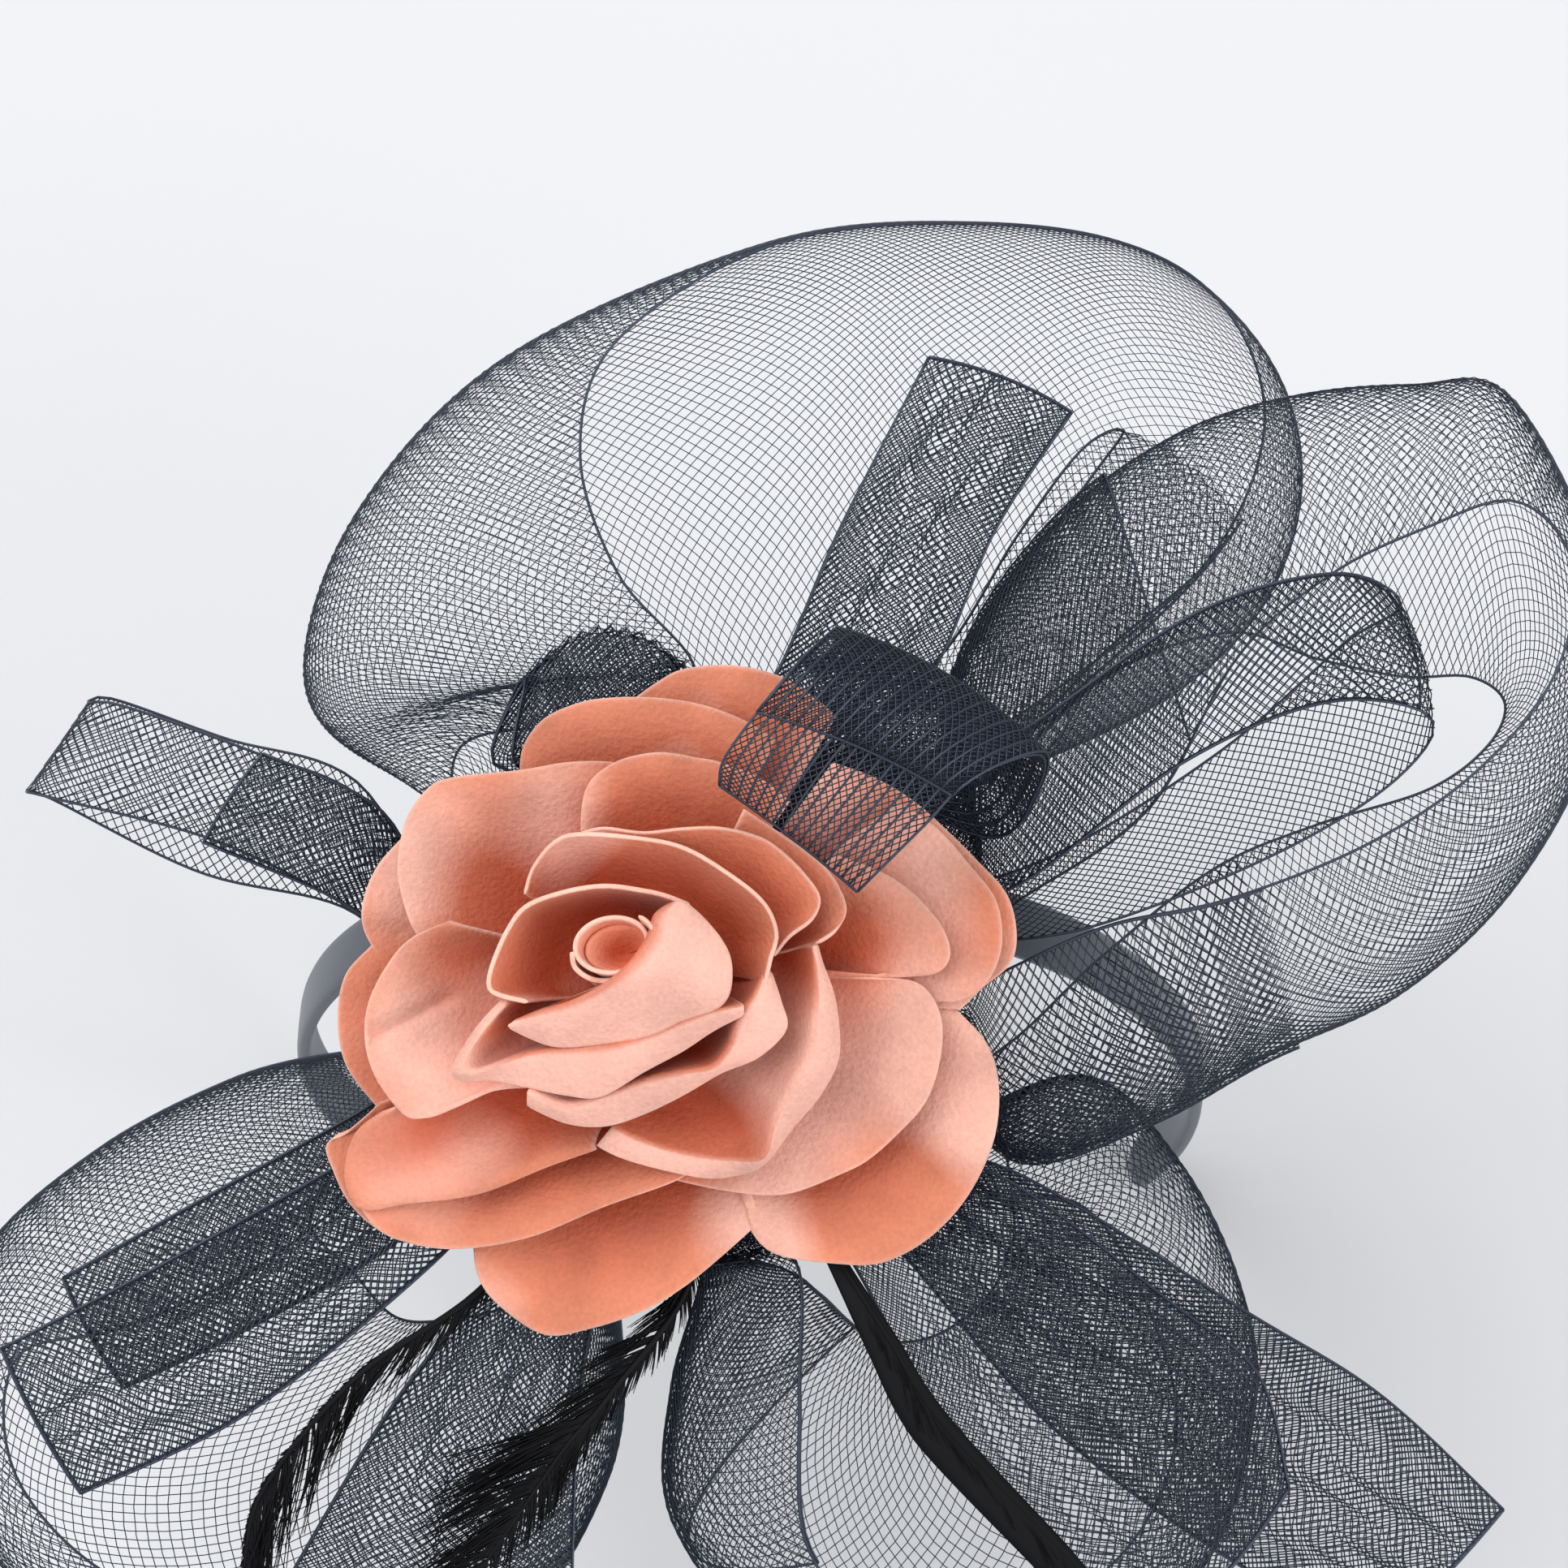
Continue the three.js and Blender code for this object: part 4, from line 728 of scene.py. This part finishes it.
def petal_surface(scene, petal, seed):
    """A petal of u from foot to lip and v along the lip. Foot, bend, ridge and lip are carried from side
    to side by the spline. A plain petal is the cubic Bezier of the four, and its bend lies half way out
    at the foot's height, so it is a cup. A folded one is a quadratic Bezier up to the ridge and another
    from the ridge over to the lip. Low waves grow towards the lip."""
    rose = scene.fascinator_rose
    lip = at_height(petal["lip"])
    start, end, height = petal["foot"]
    angle = np.radians(np.linspace(start, end, len(lip)))
    radius = rose.core_radius / MM * (1 - CORE_TAPER * height * MM / rose.core_height) + SEAT_GAP
    foot = lean(scene, np.stack([radius * np.cos(angle), radius * np.sin(angle), height + 0 * angle], -1))
    folded = petal.get("folds", False)
    if isinstance(petal["ridge"], list):
        ridge = at_height(petal["ridge"])
    else:
        share, rise = petal["ridge"]
        ridge = foot + (lip - foot) * [share, share, 1] + [0, 0, rise]
    bend = foot + ((ridge - foot) * FOLDED_BEND if folded else (lip - foot) * PLAIN_BEND)
    rows = np.concatenate([foot, bend, ridge, lip], 1)
    dice = np.random.default_rng(seed)
    waves = [(dice.uniform(*WAVE_HEIGHTS), k, dice.uniform(0, 2 * np.pi)) for k in WAVES]

    def surface(u, v):
        foot, bend, ridge, lip = np.split(spline(rows, v), 4, axis=-1)
        u, w = u[..., None], 1 - u[..., None]
        if folded:
            t = np.clip(u / FOLD_AT, 0, 1)
            inside = (1 - t) ** 2 * foot + 2 * t * (1 - t) * bend + t**2 * ridge
            t = np.clip((u - FOLD_AT) / (1 - FOLD_AT), 0, 1)
            over = (ridge + lip) / 2 + [0, 0, FOLD_RISE]
            outside = (1 - t) ** 2 * ridge + 2 * t * (1 - t) * over + t**2 * lip
            points = np.where(u < FOLD_AT, inside, outside)
        else:
            points = w**3 * foot + 3 * u * w**2 * bend + 3 * u**2 * w * ridge + u**3 * lip
        ripple = sum(size * np.sin(k * v * np.pi + turn) for size, k, turn in waves)
        points[..., 2] += ripple * u[..., 0] ** 2
        if petal.get("crease"):
            a, b = np.array(CREASE["from"]), np.array(CREASE["to"])
            along = np.clip((points[..., :2] - a) @ (b - a) / ((b - a) @ (b - a)), 0, 1)
            off = np.linalg.norm(points[..., :2] - a - along[..., None] * (b - a), axis=-1)
            points[..., 2] -= CREASE["depth"] * np.exp(-((off / CREASE["width"]) ** 2))
        return points

    return surface


def cloth_shell(scene, surface, rows, columns, folded=False):
    """A cloth shell: the grid moved half its thickness to both sides, thinning into a round rim. Values
    beside it: rim is 1 at the edge and falls with the distance from it, and carries the sealed edge's paler
    tone with some painted highlight; depth is 1 at the foot and carries the painted shade towards it; fold
    rises to 1 over the outer part of a petal whose lip folds over, where a painted highlight goes."""
    outward = 1 - (1 - np.linspace(0, 1, rows)) ** RIM_CROWDING
    u, v = np.meshgrid(outward, np.linspace(0, 1, columns), indexing="ij")
    points = surface(u, v)
    length = np.linalg.norm(np.diff(points, axis=0), axis=-1).sum(0).mean()
    width = np.linalg.norm(np.diff(points, axis=1), axis=-1).sum(1).max()
    far = np.minimum((1 - u) * length, np.minimum(v, 1 - v) * width)
    swell = 1 + HEM["swell"] * np.exp(-far / HEM["fade"])
    hem = np.sqrt(np.clip(HEM["edge"] + far / HEM["full"], 0, 1))
    half = scene.fascinator_rose.cloth / MM / 2 * swell * hem
    aside = surface_normals(surface, u, v) * half[..., None]
    # fold marks where the painted highlight goes over a folded-over lip.
    turned = np.clip((u - FOLD_AT) / FOLD_FADE, 0, 1) * folded
    values = {"rim": np.exp(-far / RIM_FADE), "depth": 1 - u, "fold": turned}
    return (shell(to_row(scene, points + aside), to_row(scene, points - aside)),
            {label: np.tile(value.ravel(), 2) for label, value in values.items()})


def build_petals(scene):
    """One piece for each petal, in the place of its CAD node."""
    material = petal_material(scene)
    for seed, (node, petal) in enumerate(PETALS.items()):
        surface = petal_surface(scene, petal, seed)
        mesh, values = cloth_shell(scene, surface, PETAL_ROWS, PETAL_COLUMNS, petal.get("folds", False))
        make_piece(node.replace("rose_petal", "petal"), [mesh], material, [node], values)


HEART_RIM = (-9, 6.6, 40.5)
HEART_RADII = (5.6, 4.0)
HEART_TURN = 8
HEART_START = -60
HEART_TURNS = 1.3
HEART_DEPTH = 5.5
HEART_INNER = 0.74
HEART_WAIST = 0.82
HEART_DROP = 1.5
BOWL_SHARE = 0.75
BOWL_SHADE = 0.9


def build_heart(scene):
    """The rolled heart: an oval spiral strip from the core's top up to its tilted rim, drawn in
    towards its inner end and flaring a little at the lip, with a bowl of cloth inside it, painted darker
    towards its middle as shade."""
    foot = lean(scene, np.array([0, 0, scene.fascinator_rose.core_height / MM + SEAT_GAP]))
    rim = at_height([HEART_RIM])[0]
    tilt = math.radians(HEART_TURN)

    def oval(turn, size):
        x, y = HEART_RADII[0] * np.cos(turn) * size, HEART_RADII[1] * np.sin(turn) * size
        return x, np.stack([
            x * math.cos(tilt) - y * math.sin(tilt), x * math.sin(tilt) + y * math.cos(tilt), 0 * x], -1)

    def strip(v, u):
        size = (HEART_INNER + (1 - HEART_INNER) * u) * (HEART_WAIST + 0.13 * v + 0.05 * v**6)
        x, points = oval(np.radians(360 * HEART_TURNS) * u + math.radians(HEART_START), size)
        points[..., 2] += 0.03 * x * v - HEART_DROP * v * (1 - u)
        return foot + (rim - foot) * v[..., None] + points

    def bowl(u, v):
        depth = HEART_DEPTH * (1 - 0.5 * u**2)
        middle = rim - (rim - foot) / np.linalg.norm(rim - foot) * depth[..., None]
        return middle + oval(2 * np.pi * v, u * BOWL_SHARE)[1]

    wall, values = cloth_shell(scene, strip, 20, 110)
    inside, more = cloth_shell(scene, bowl, 12, 60)
    # Wall and bowl carry the depth value, which paints shade: the wall darker down towards the core's top,
    # the bowl darker towards its middle, at BOWL_SHADE of the full depth.
    for label in values:
        values[label] = np.concatenate([values[label], more[label] * (label == "depth") * BOWL_SHADE])
    make_piece("heart_strip", [wall, inside], petal_material(scene), ["rose_coil"], values)


# Feathers. quill: points along it in mm. left and right: reach of the barbs on each side of it. rake:
# how far they point aside, in degrees. bend: how much they curve forwards. solid: the barbs lie closed
# over a web.

WEB_SHARE = 0.8
QUILL_STEPS = 60
QUILL_TAPER = 0.75
BARB_TAPER = 0.7
BARB_SHARE = 0.8
BARB_STEPS = 8
BARBED = (0.06, 0.995)
LENGTH_SPREAD = (0.72, 1.1)
RAKE_SPREAD = (0.85, 1.15)
LIFT_SPREAD = (-0.06, 0.06)
LEAST_RAKE = 0.35
LOCKS = 62
LOCK_DRIFT = 23
LOCK_LEAN = 0.12

FEATHERS = {
    "feather_left": {
        "quill": [
            (-11, -18, 5), (-26, -39, 8), (-43, -51, 11), (-55, -65, 12), (-58, -74, 12), (-58, -85, 12)],
        "left": (0.3, 0.5, 1, 1, 1, 0.5), "right": (1, 3, 11, 17, 14, 3), "rake": 32, "bend": 0.5,
    },
    "feather_middle": {
        "quill": [
            (-1, -20, 2.5), (1, -38, 8), (-10, -54, 11), (-16, -61, 12), (-25, -74, 12), (-32, -84, 12)],
        "left": (1, 6, 15, 16, 11, 2), "right": (1, 3, 5, 6, 5, 2), "rake": 30, "bend": 0.4,
    },
    "feather_right": {
        "quill": [(10, -18, 7.2), (20, -35, 11), (27, -46, 13), (34, -57, 14), (50, -74, 15), (58, -83, 15)],
        "left": (0.5, 2, 4.2, 5.5, 5.2, 2), "right": (0.5, 1, 1.3, 1.6, 1.3, 0.5),
        "rake": 14, "bend": 0.1, "solid": True,
    },
}


def feather_web(path, feather, half):
    """A thin closed blade: across the run of the quill, from the left reach to the right reach."""
    aside = unit(np.cross([0, 0, 1], unit(np.gradient(path, axis=0))))
    u, marks = np.linspace(0, 1, len(path)), np.linspace(0, 1, len(feather["left"]))
    left, right = (np.interp(u, marks, feather[side])[:, None] * WEB_SHARE for side in ("left", "right"))
    share = np.linspace(0, 1, 5)
    middle = path[:, None] + (right * share - left * (1 - share))[..., None] * aside[:, None]
    return shell(middle + [0, 0, half], middle - [0, 0, half])


def feather_barbs(rows, feather, sign, reach, seed, dice, look):
    """The fan of barbs on one side of a quill. A barb leaves at the rake angle and bends forwards with
    the square of its length, and neighbouring barbs lean together in locks."""
    at = np.sort(dice.uniform(*BARBED, look.barbs))
    base = spline(rows, at)
    run = unit(spline(rows, np.minimum(at + 1e-3, 1)) - spline(rows, at - 1e-3))
    aside = sign * unit(np.cross([0, 0, 1], run))
    locks = np.sin(at * LOCKS + 3 * np.sin(at * LOCK_DRIFT + seed)) * LOCK_LEAN
    slant = math.radians(feather["rake"])
    length = np.interp(at, np.linspace(0, 1, len(reach)), reach)
    length = length * dice.uniform(*LENGTH_SPREAD, len(at)) / math.sin(slant + LEAST_RAKE)
    rake = slant * dice.uniform(*RAKE_SPREAD, len(at)) + locks
    t = np.linspace(0, 1, BARB_STEPS)[None, :, None]
    out = np.sin(rake)[:, None, None] * aside[:, None] * t
    on = (np.cos(rake)[:, None, None] * t + feather["bend"] * t**2 * 0.5) * run[:, None]
    lift = np.array([0, 0, 1.0]) * (dice.uniform(*LIFT_SPREAD, len(at))[:, None, None] * t)
    barbs = base[:, None] + length[:, None, None] * BARB_SHARE * (out + on + lift)
    radius = look.barb / 2 / MM * (1 - BARB_TAPER * t[..., 0]) * np.ones((len(at), 1))
    return tubes(barbs, np.broadcast_to([0.0, 0.0, 1.0], barbs.shape), radius, 3)


def build_feathers(scene):
    """A tapering quill with a fan of barbs on each side, and a web where the barbs lie closed."""
    look = scene.fascinator_feather
    material = feather_material(scene)
    for seed, (name, feather) in enumerate(FEATHERS.items()):
        dice = np.random.default_rng(40 + seed)
        rows = np.array(feather["quill"], float)
        u = np.linspace(0, 1, QUILL_STEPS)
        path = spline(rows, u)
        up = np.tile([0.0, 0.0, 1.0], (QUILL_STEPS, 1))
        parts = [tubes(path[None], up[None], look.quill / 2 / MM * (1 - QUILL_TAPER * u), 6)]
        if feather.get("solid"):
            parts.append(feather_web(path, feather, look.barb / 2 / MM))
        for sign, side in ((-1, "left"), (1, "right")):
            parts.append(feather_barbs(rows, feather, sign, feather[side], seed, dice, look))
        make_piece(name + "_barbs", parts_to_row(scene, parts), material, [name])


# Headband

BAND_STEPS = 160
BAND_SIDES = 20
BAND_END = 4
BAND_TIP = 0.02
EDGE_ROUND = {"wide": 0.45, "thick": 0.7}


def rounded(wave, power):
    """A wave flattened towards its crests: its sign times its size to the power."""
    return np.sign(wave) * np.abs(wave) ** power


def build_band(scene):
    """The band: a flat profile with round edges carried round the hoop, drawn in at its two ends."""
    band = scene.fascinator_band
    angles = np.linspace(-band.end_angle, band.end_angle, BAND_STEPS)
    path = hoop_points(band, angles)
    run = unit(np.gradient(path, axis=0))
    out = np.stack([-run[:, 2], 0 * angles, run[:, 0]], -1)
    walked = np.concatenate([[0], np.cumsum(np.linalg.norm(np.diff(path, axis=0), axis=-1))])
    ends = np.minimum(walked, walked[-1] - walked)
    draw = np.sqrt(np.clip(1 - (1 - np.clip(ends / BAND_END, 0, 1)) ** 2, BAND_TIP, 1))
    turn = -np.arange(BAND_SIDES) * 2 * np.pi / BAND_SIDES
    wide = rounded(np.cos(turn), EDGE_ROUND["wide"]) * band.width / 2 / MM
    thick = rounded(np.sin(turn), EDGE_ROUND["thick"]) * band.thickness / 2 / MM
    points = (path[:, None] + (draw[:, None] * wide)[..., None] * [0, 1, 0] + thick[:, None] * out[:, None])
    mesh = swept(points[None] * MM)
    make_piece("satin_band", [mesh], satin_material(scene), ["headband"])


# Materials


def feed(tree, node, inputs):
    """Gives a node its inputs by label or number: a socket is linked, a value or colour is set."""
    for label, value in inputs.items():
        socket = node.inputs[label]
        if isinstance(value, bpy.types.NodeSocket):
            tree.links.new(value, socket)
        else:
            socket.default_value = (*value, 1) if socket.type == "RGBA" else value
    return node


def shader_node(tree, kind, inputs=None, **settings):
    """A new shader node with its settings and its inputs."""
    node = tree.nodes.new("ShaderNode" + kind)
    for label, value in settings.items():
        setattr(node, label, value)
    return feed(tree, node, inputs or {})


def cloth_grain_group():
    """Fine crepe: two sizes of noise on Object coordinates, as a height and as a shade of the colour."""
    if "Cloth grain" in bpy.data.node_groups:
        return bpy.data.node_groups["Cloth grain"]
    tree = bpy.data.node_groups.new("Cloth grain", "ShaderNodeTree")
    kinds = {"Colour": "NodeSocketColor"}
    for label in ("Colour", "Size", "Depth"):
        tree.interface.new_socket(label, in_out="INPUT", socket_type=kinds.get(label, "NodeSocketFloat"))
    for label in ("Colour", "Height", "Roughness"):
        tree.interface.new_socket(label, in_out="OUTPUT", socket_type=kinds.get(label, "NodeSocketFloat"))
    given, result = tree.nodes.new("NodeGroupInput").outputs, tree.nodes.new("NodeGroupOutput")
    place = shader_node(tree, "TexCoord").outputs["Object"]
    noise = {"Vector": place, "Detail": 3, "Scale": given["Size"]}
    fine = shader_node(tree, "TexNoise", noise).outputs["Fac"]
    broad = shader_node(tree, "TexNoise", {"Vector": place, "Scale": 90}).outputs["Fac"]
    mixed = shader_node(tree, "Math", {0: fine, 1: 0.5, 2: broad}, operation="MULTIPLY_ADD").outputs[0]
    centred = shader_node(tree, "Math", {0: mixed, 1: 0.75}, operation="SUBTRACT").outputs[0]
    shade = {0: centred, 1: given["Depth"], 2: 1.0}
    shade = shader_node(tree, "Math", shade, operation="MULTIPLY_ADD").outputs[0]
    tint = {0: given["Colour"], "Scale": shade}
    tint = shader_node(tree, "VectorMath", tint, operation="SCALE").outputs[0]
    rough = shader_node(tree, "MapRange", {"Value": fine, "To Min": 0.5, "To Max": 0.72}).outputs[0]
    feed(tree, result, {"Colour": tint, "Height": fine, "Roughness": rough})
    return tree


def base_material(name, slot, inputs):
    """A material with its name and its slot, with its Principled shader given the inputs."""
    material = bpy.data.materials.new(name)
    material.use_nodes = True
    material["slot"] = slot
    tree = material.node_tree
    return material, tree, feed(tree, tree.nodes["Principled BSDF"], inputs)


def add_grain(tree, shader, colour, size, depth, bump):
    """Puts the cloth grain on a shader. colour is a value or a socket."""
    given = {"Colour": colour, "Size": size, "Depth": depth}
    grain = shader_node(tree, "Group", node_tree=cloth_grain_group())
    out = feed(tree, grain, given).outputs
    relief = shader_node(tree, "Bump", {"Height": out["Height"], "Strength": bump, "Distance": 0.0002})
    feed(tree, shader, {
        "Base Color": out["Colour"], "Roughness": out["Roughness"], "Normal": relief.outputs["Normal"]})


def mix_colours(tree, first, second, factor):
    """A colour mix by a factor socket, from first to second. A colour is three numbers or a socket."""
    mix = shader_node(tree, "Mix", data_type="RGBA")
    return feed(tree, mix, {"A": first, "B": second, "Factor": factor}).outputs["Result"]


def crin_material(scene):
    """Near-black thread with a slate shine."""
    if "Crin thread" in bpy.data.materials:
        return bpy.data.materials["Crin thread"]
    return base_material("Crin thread", "crin_net", {
        "Base Color": scene.fascinator_crin.colour, "Roughness": 0.38,
        "Specular IOR Level": 0.7, "Specular Tint": (0.7, 0.85, 1)})[0]


def petal_material(scene):
    """Coral cloth: painted shade, deeper towards the foot; pale at the sealed rim, partly its own tone and
    partly painted highlight; painted highlight over the fold and in broad patches; with a crepe grain and a
    soft sheen."""
    if "Coral cloth" in bpy.data.materials:
        return bpy.data.materials["Coral cloth"]
    rose = scene.fascinator_rose
    material, tree, shader = base_material("Coral cloth", "rose_fabric", {
        "Base Color": rose.colour, "Roughness": 0.6, "Specular IOR Level": 0.3,
        "Sheen Weight": 0.45, "Sheen Roughness": 0.3, "Sheen Tint": (1, 0.82, 0.74)})
    depth, rim, fold = (
        shader_node(tree, "Attribute", attribute_name=label).outputs["Fac"]
        for label in ("depth", "rim", "fold"))
    # Painted shade: the colour mixes towards deep coral towards the foot, where the petals sink between their
    # neighbours.
    foot_shade = shader_node(tree, "MapRange", {"Value": depth, "From Min": 0.1, "From Max": 0.6}).outputs[0]
    body = mix_colours(tree, rose.colour, rose.deep, foot_shade)
    place = shader_node(tree, "TexCoord").outputs["Object"]
    # Painted highlight: broad noise patches pale the colour, standing in for the satin's sheen.
    patches = shader_node(tree, "TexNoise", {"Vector": place, "Scale": 36, "Detail": 1}).outputs["Fac"]
    painted_sheen = {"Value": patches, "From Min": 0.48, "From Max": 0.62, "To Max": 0.9}
    painted_sheen = shader_node(tree, "MapRange", painted_sheen).outputs[0]
    # The painted highlight takes the larger of the patches and the folded lip.
    highlight_share = shader_node(tree, "Math", {0: painted_sheen, 1: fold}, operation="MAXIMUM").outputs[0]
    # The painted highlight mixes in first, then the rim colour: the sealed edge's paler tone, partly painted
    # highlight.
    edged = mix_colours(tree, mix_colours(tree, body, rose.pale, highlight_share), rose.rim, rim)
    add_grain(tree, shader, edged, size=1500, depth=0.7, bump=1)
    return material


def core_material(scene):
    """Plain deep coral for the core, the petals' painted foot shade, since it only shows in the shaded gaps
    between petals.
    """
    return base_material(
        "Coral core", "rose_fabric", {"Base Color": scene.fascinator_rose.deep, "Roughness": 0.75})[0]


def feather_material(scene):
    """Black barbs with a dull shine."""
    return base_material("Feather black", "feather", {
        "Base Color": scene.fascinator_feather.colour, "Roughness": 0.6, "Specular IOR Level": 0.15})[0]


def satin_material(scene):
    """Slate satin with a faint grain."""
    if "Slate satin" in bpy.data.materials:
        return bpy.data.materials["Slate satin"]
    colour = scene.fascinator_band.colour
    material, tree, shader = base_material(
        "Slate satin", "satin", {"Base Color": colour, "Roughness": 0.35, "Sheen Weight": 0.3})
    add_grain(tree, shader, colour, size=2500, depth=0.3, bump=0.25)
    return material


# Operators


class FASCINATOR_OT_band(bpy.types.Operator):
    """Make the satin headband and cover the base with satin"""

    bl_idname = "fascinator.band"
    bl_label = "Headband"

    def execute(self, context):
        build_band(context.scene)
        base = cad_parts["base_disc"].data
        base.materials.clear()
        base.materials.append(satin_material(context.scene))
        return {"FINISHED"}


class FASCINATOR_OT_loops(bpy.types.Operator):
    """Net the crin loops"""

    bl_idname = "fascinator.loops"
    bl_label = "Crin loops"

    def execute(self, context):
        build_crin(context.scene, [name for name in CRIN if "end" in CRIN[name]])
        return {"FINISHED"}


class FASCINATOR_OT_tails(bpy.types.Operator):
    """Net the crin tails and the curl, which have a cut end"""

    bl_idname = "fascinator.tails"
    bl_label = "Crin tails and curl"

    def execute(self, context):
        build_crin(context.scene, [name for name in CRIN if "end" not in CRIN[name]])
        return {"FINISHED"}


class FASCINATOR_OT_petals(bpy.types.Operator):
    """Make the petals of the rose"""

    bl_idname = "fascinator.petals"
    bl_label = "Petals"

    def execute(self, context):
        build_petals(context.scene)
        return {"FINISHED"}


class FASCINATOR_OT_heart(bpy.types.Operator):
    """Make the rolled heart of the rose on its core"""

    bl_idname = "fascinator.heart"
    bl_label = "Heart"

    def execute(self, context):
        build_heart(context.scene)
        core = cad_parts["rose_core"].data
        core.materials.clear()
        core.materials.append(core_material(context.scene))
        return {"FINISHED"}


class FASCINATOR_OT_feathers(bpy.types.Operator):
    """Make the three feathers barb by barb"""

    bl_idname = "fascinator.feathers"
    bl_label = "Feathers"

    def execute(self, context):
        build_feathers(context.scene)
        return {"FINISHED"}


class FASCINATOR_OT_stage(bpy.types.Operator):
    """Set the floor, the soft lights and the camera"""

    bl_idname = "fascinator.stage"
    bl_label = "Stage"

    def execute(self, context):
        build_stage(context.scene)
        return {"FINISHED"}


FLOOR_HALF = 3.0
SKY_COLOUR = (0.95, 0.97, 1)
AIM = (0, 0, 20)
LIGHTS = {"key": ((-840, 840, 1240), 1.8), "fill": ((1240, -500, 1000), 1.2)}


def soft_light(scene, name, place, size, power):
    """A square soft light at a place in spray millimetres, turned towards AIM."""
    light = bpy.data.lights.new(name, "AREA")
    light.energy, light.size = power, size
    thing = bpy.data.objects.new(name, light)
    here, there = (Vector(p) for p in to_row(scene, np.array([place, AIM], float)))
    thing.location = here
    thing.rotation_euler = (there - here).to_track_quat("-Z", "Y").to_euler()
    scene.collection.objects.link(thing)


def build_stage(scene):
    """Floor under the headband's ends, an even sky, two soft lights, and the camera over the rose."""
    look = scene.fascinator_stage
    mesh = bpy.data.meshes.new("floor")
    corners = ((-1, -1), (1, -1), (1, 1), (-1, 1))
    mesh.from_pydata(
        [(x * FLOOR_HALF, y * FLOOR_HALF, CAD_BOX[0][2]) for x, y in corners], [], [(0, 1, 2, 3)])
    material = bpy.data.materials.new("Pale floor")
    material.use_nodes = True
    tree = material.node_tree
    feed(tree, tree.nodes["Principled BSDF"], {"Base Color": look.floor, "Roughness": 0.9})
    mesh.materials.append(material)
    floor = bpy.data.objects.new("floor", mesh)
    scene.collection.objects.link(floor)

    scene.world = bpy.data.worlds.new("Even sky")
    scene.world.use_nodes = True
    tree = scene.world.node_tree
    feed(tree, tree.nodes["Background"], {"Color": SKY_COLOUR, "Strength": look.sky})
    for name, (place, size) in LIGHTS.items():
        soft_light(scene, name, place, size, getattr(look, name))

    camera = bpy.data.cameras.new("camera")
    camera.angle = 2 * math.atan(look.view_width / 2 / (look.eye_height - ROSE_MIDDLE * MM))
    eye = bpy.data.objects.new("camera", camera)
    spray = spray_matrix(scene)
    place = spray @ Vector((*EYE[:2], look.eye_height / MM))
    eye.matrix_world = Matrix.Translation(place * MM) @ spray.to_3x3().to_4x4()
    scene.collection.objects.link(eye)
    scene.camera = eye
    scene.view_settings.view_transform = "Standard"


OPERATORS = (
    FASCINATOR_OT_band, FASCINATOR_OT_loops, FASCINATOR_OT_tails, FASCINATOR_OT_heart,
    FASCINATOR_OT_petals, FASCINATOR_OT_feathers, FASCINATOR_OT_stage,
)


class FASCINATOR_PT_panel(bpy.types.Panel):
    """Sizes, colours and operators of the fascinator"""

    bl_idname = "FASCINATOR_PT_panel"
    bl_label = "Fascinator"
    bl_space_type = "VIEW_3D"
    bl_region_type = "UI"
    bl_category = "Fascinator"

    def draw(self, context):
        for pointer in SETTINGS:
            settings = getattr(context.scene, pointer)
            box = self.layout.box()
            for label in type(settings).__annotations__:
                box.prop(settings, label)
        for operator in OPERATORS:
            self.layout.operator(operator.bl_idname)


CLASSES = (*SETTINGS.values(), *OPERATORS, FASCINATOR_PT_panel)


def register():
    for cls in CLASSES:
        bpy.utils.register_class(cls)
    for pointer, cls in SETTINGS.items():
        setattr(bpy.types.Scene, pointer, PointerProperty(type=cls))


def unregister():
    for pointer in SETTINGS:
        delattr(bpy.types.Scene, pointer)
    for cls in reversed(CLASSES):
        bpy.utils.unregister_class(cls)


def main():
    register()
    bpy.ops.fascinator.band()
    bpy.ops.fascinator.loops()
    bpy.ops.fascinator.tails()
    bpy.ops.fascinator.heart()
    bpy.ops.fascinator.petals()
    bpy.ops.fascinator.feathers()
    bpy.ops.fascinator.stage()


if __name__ == "__main__":
    main()
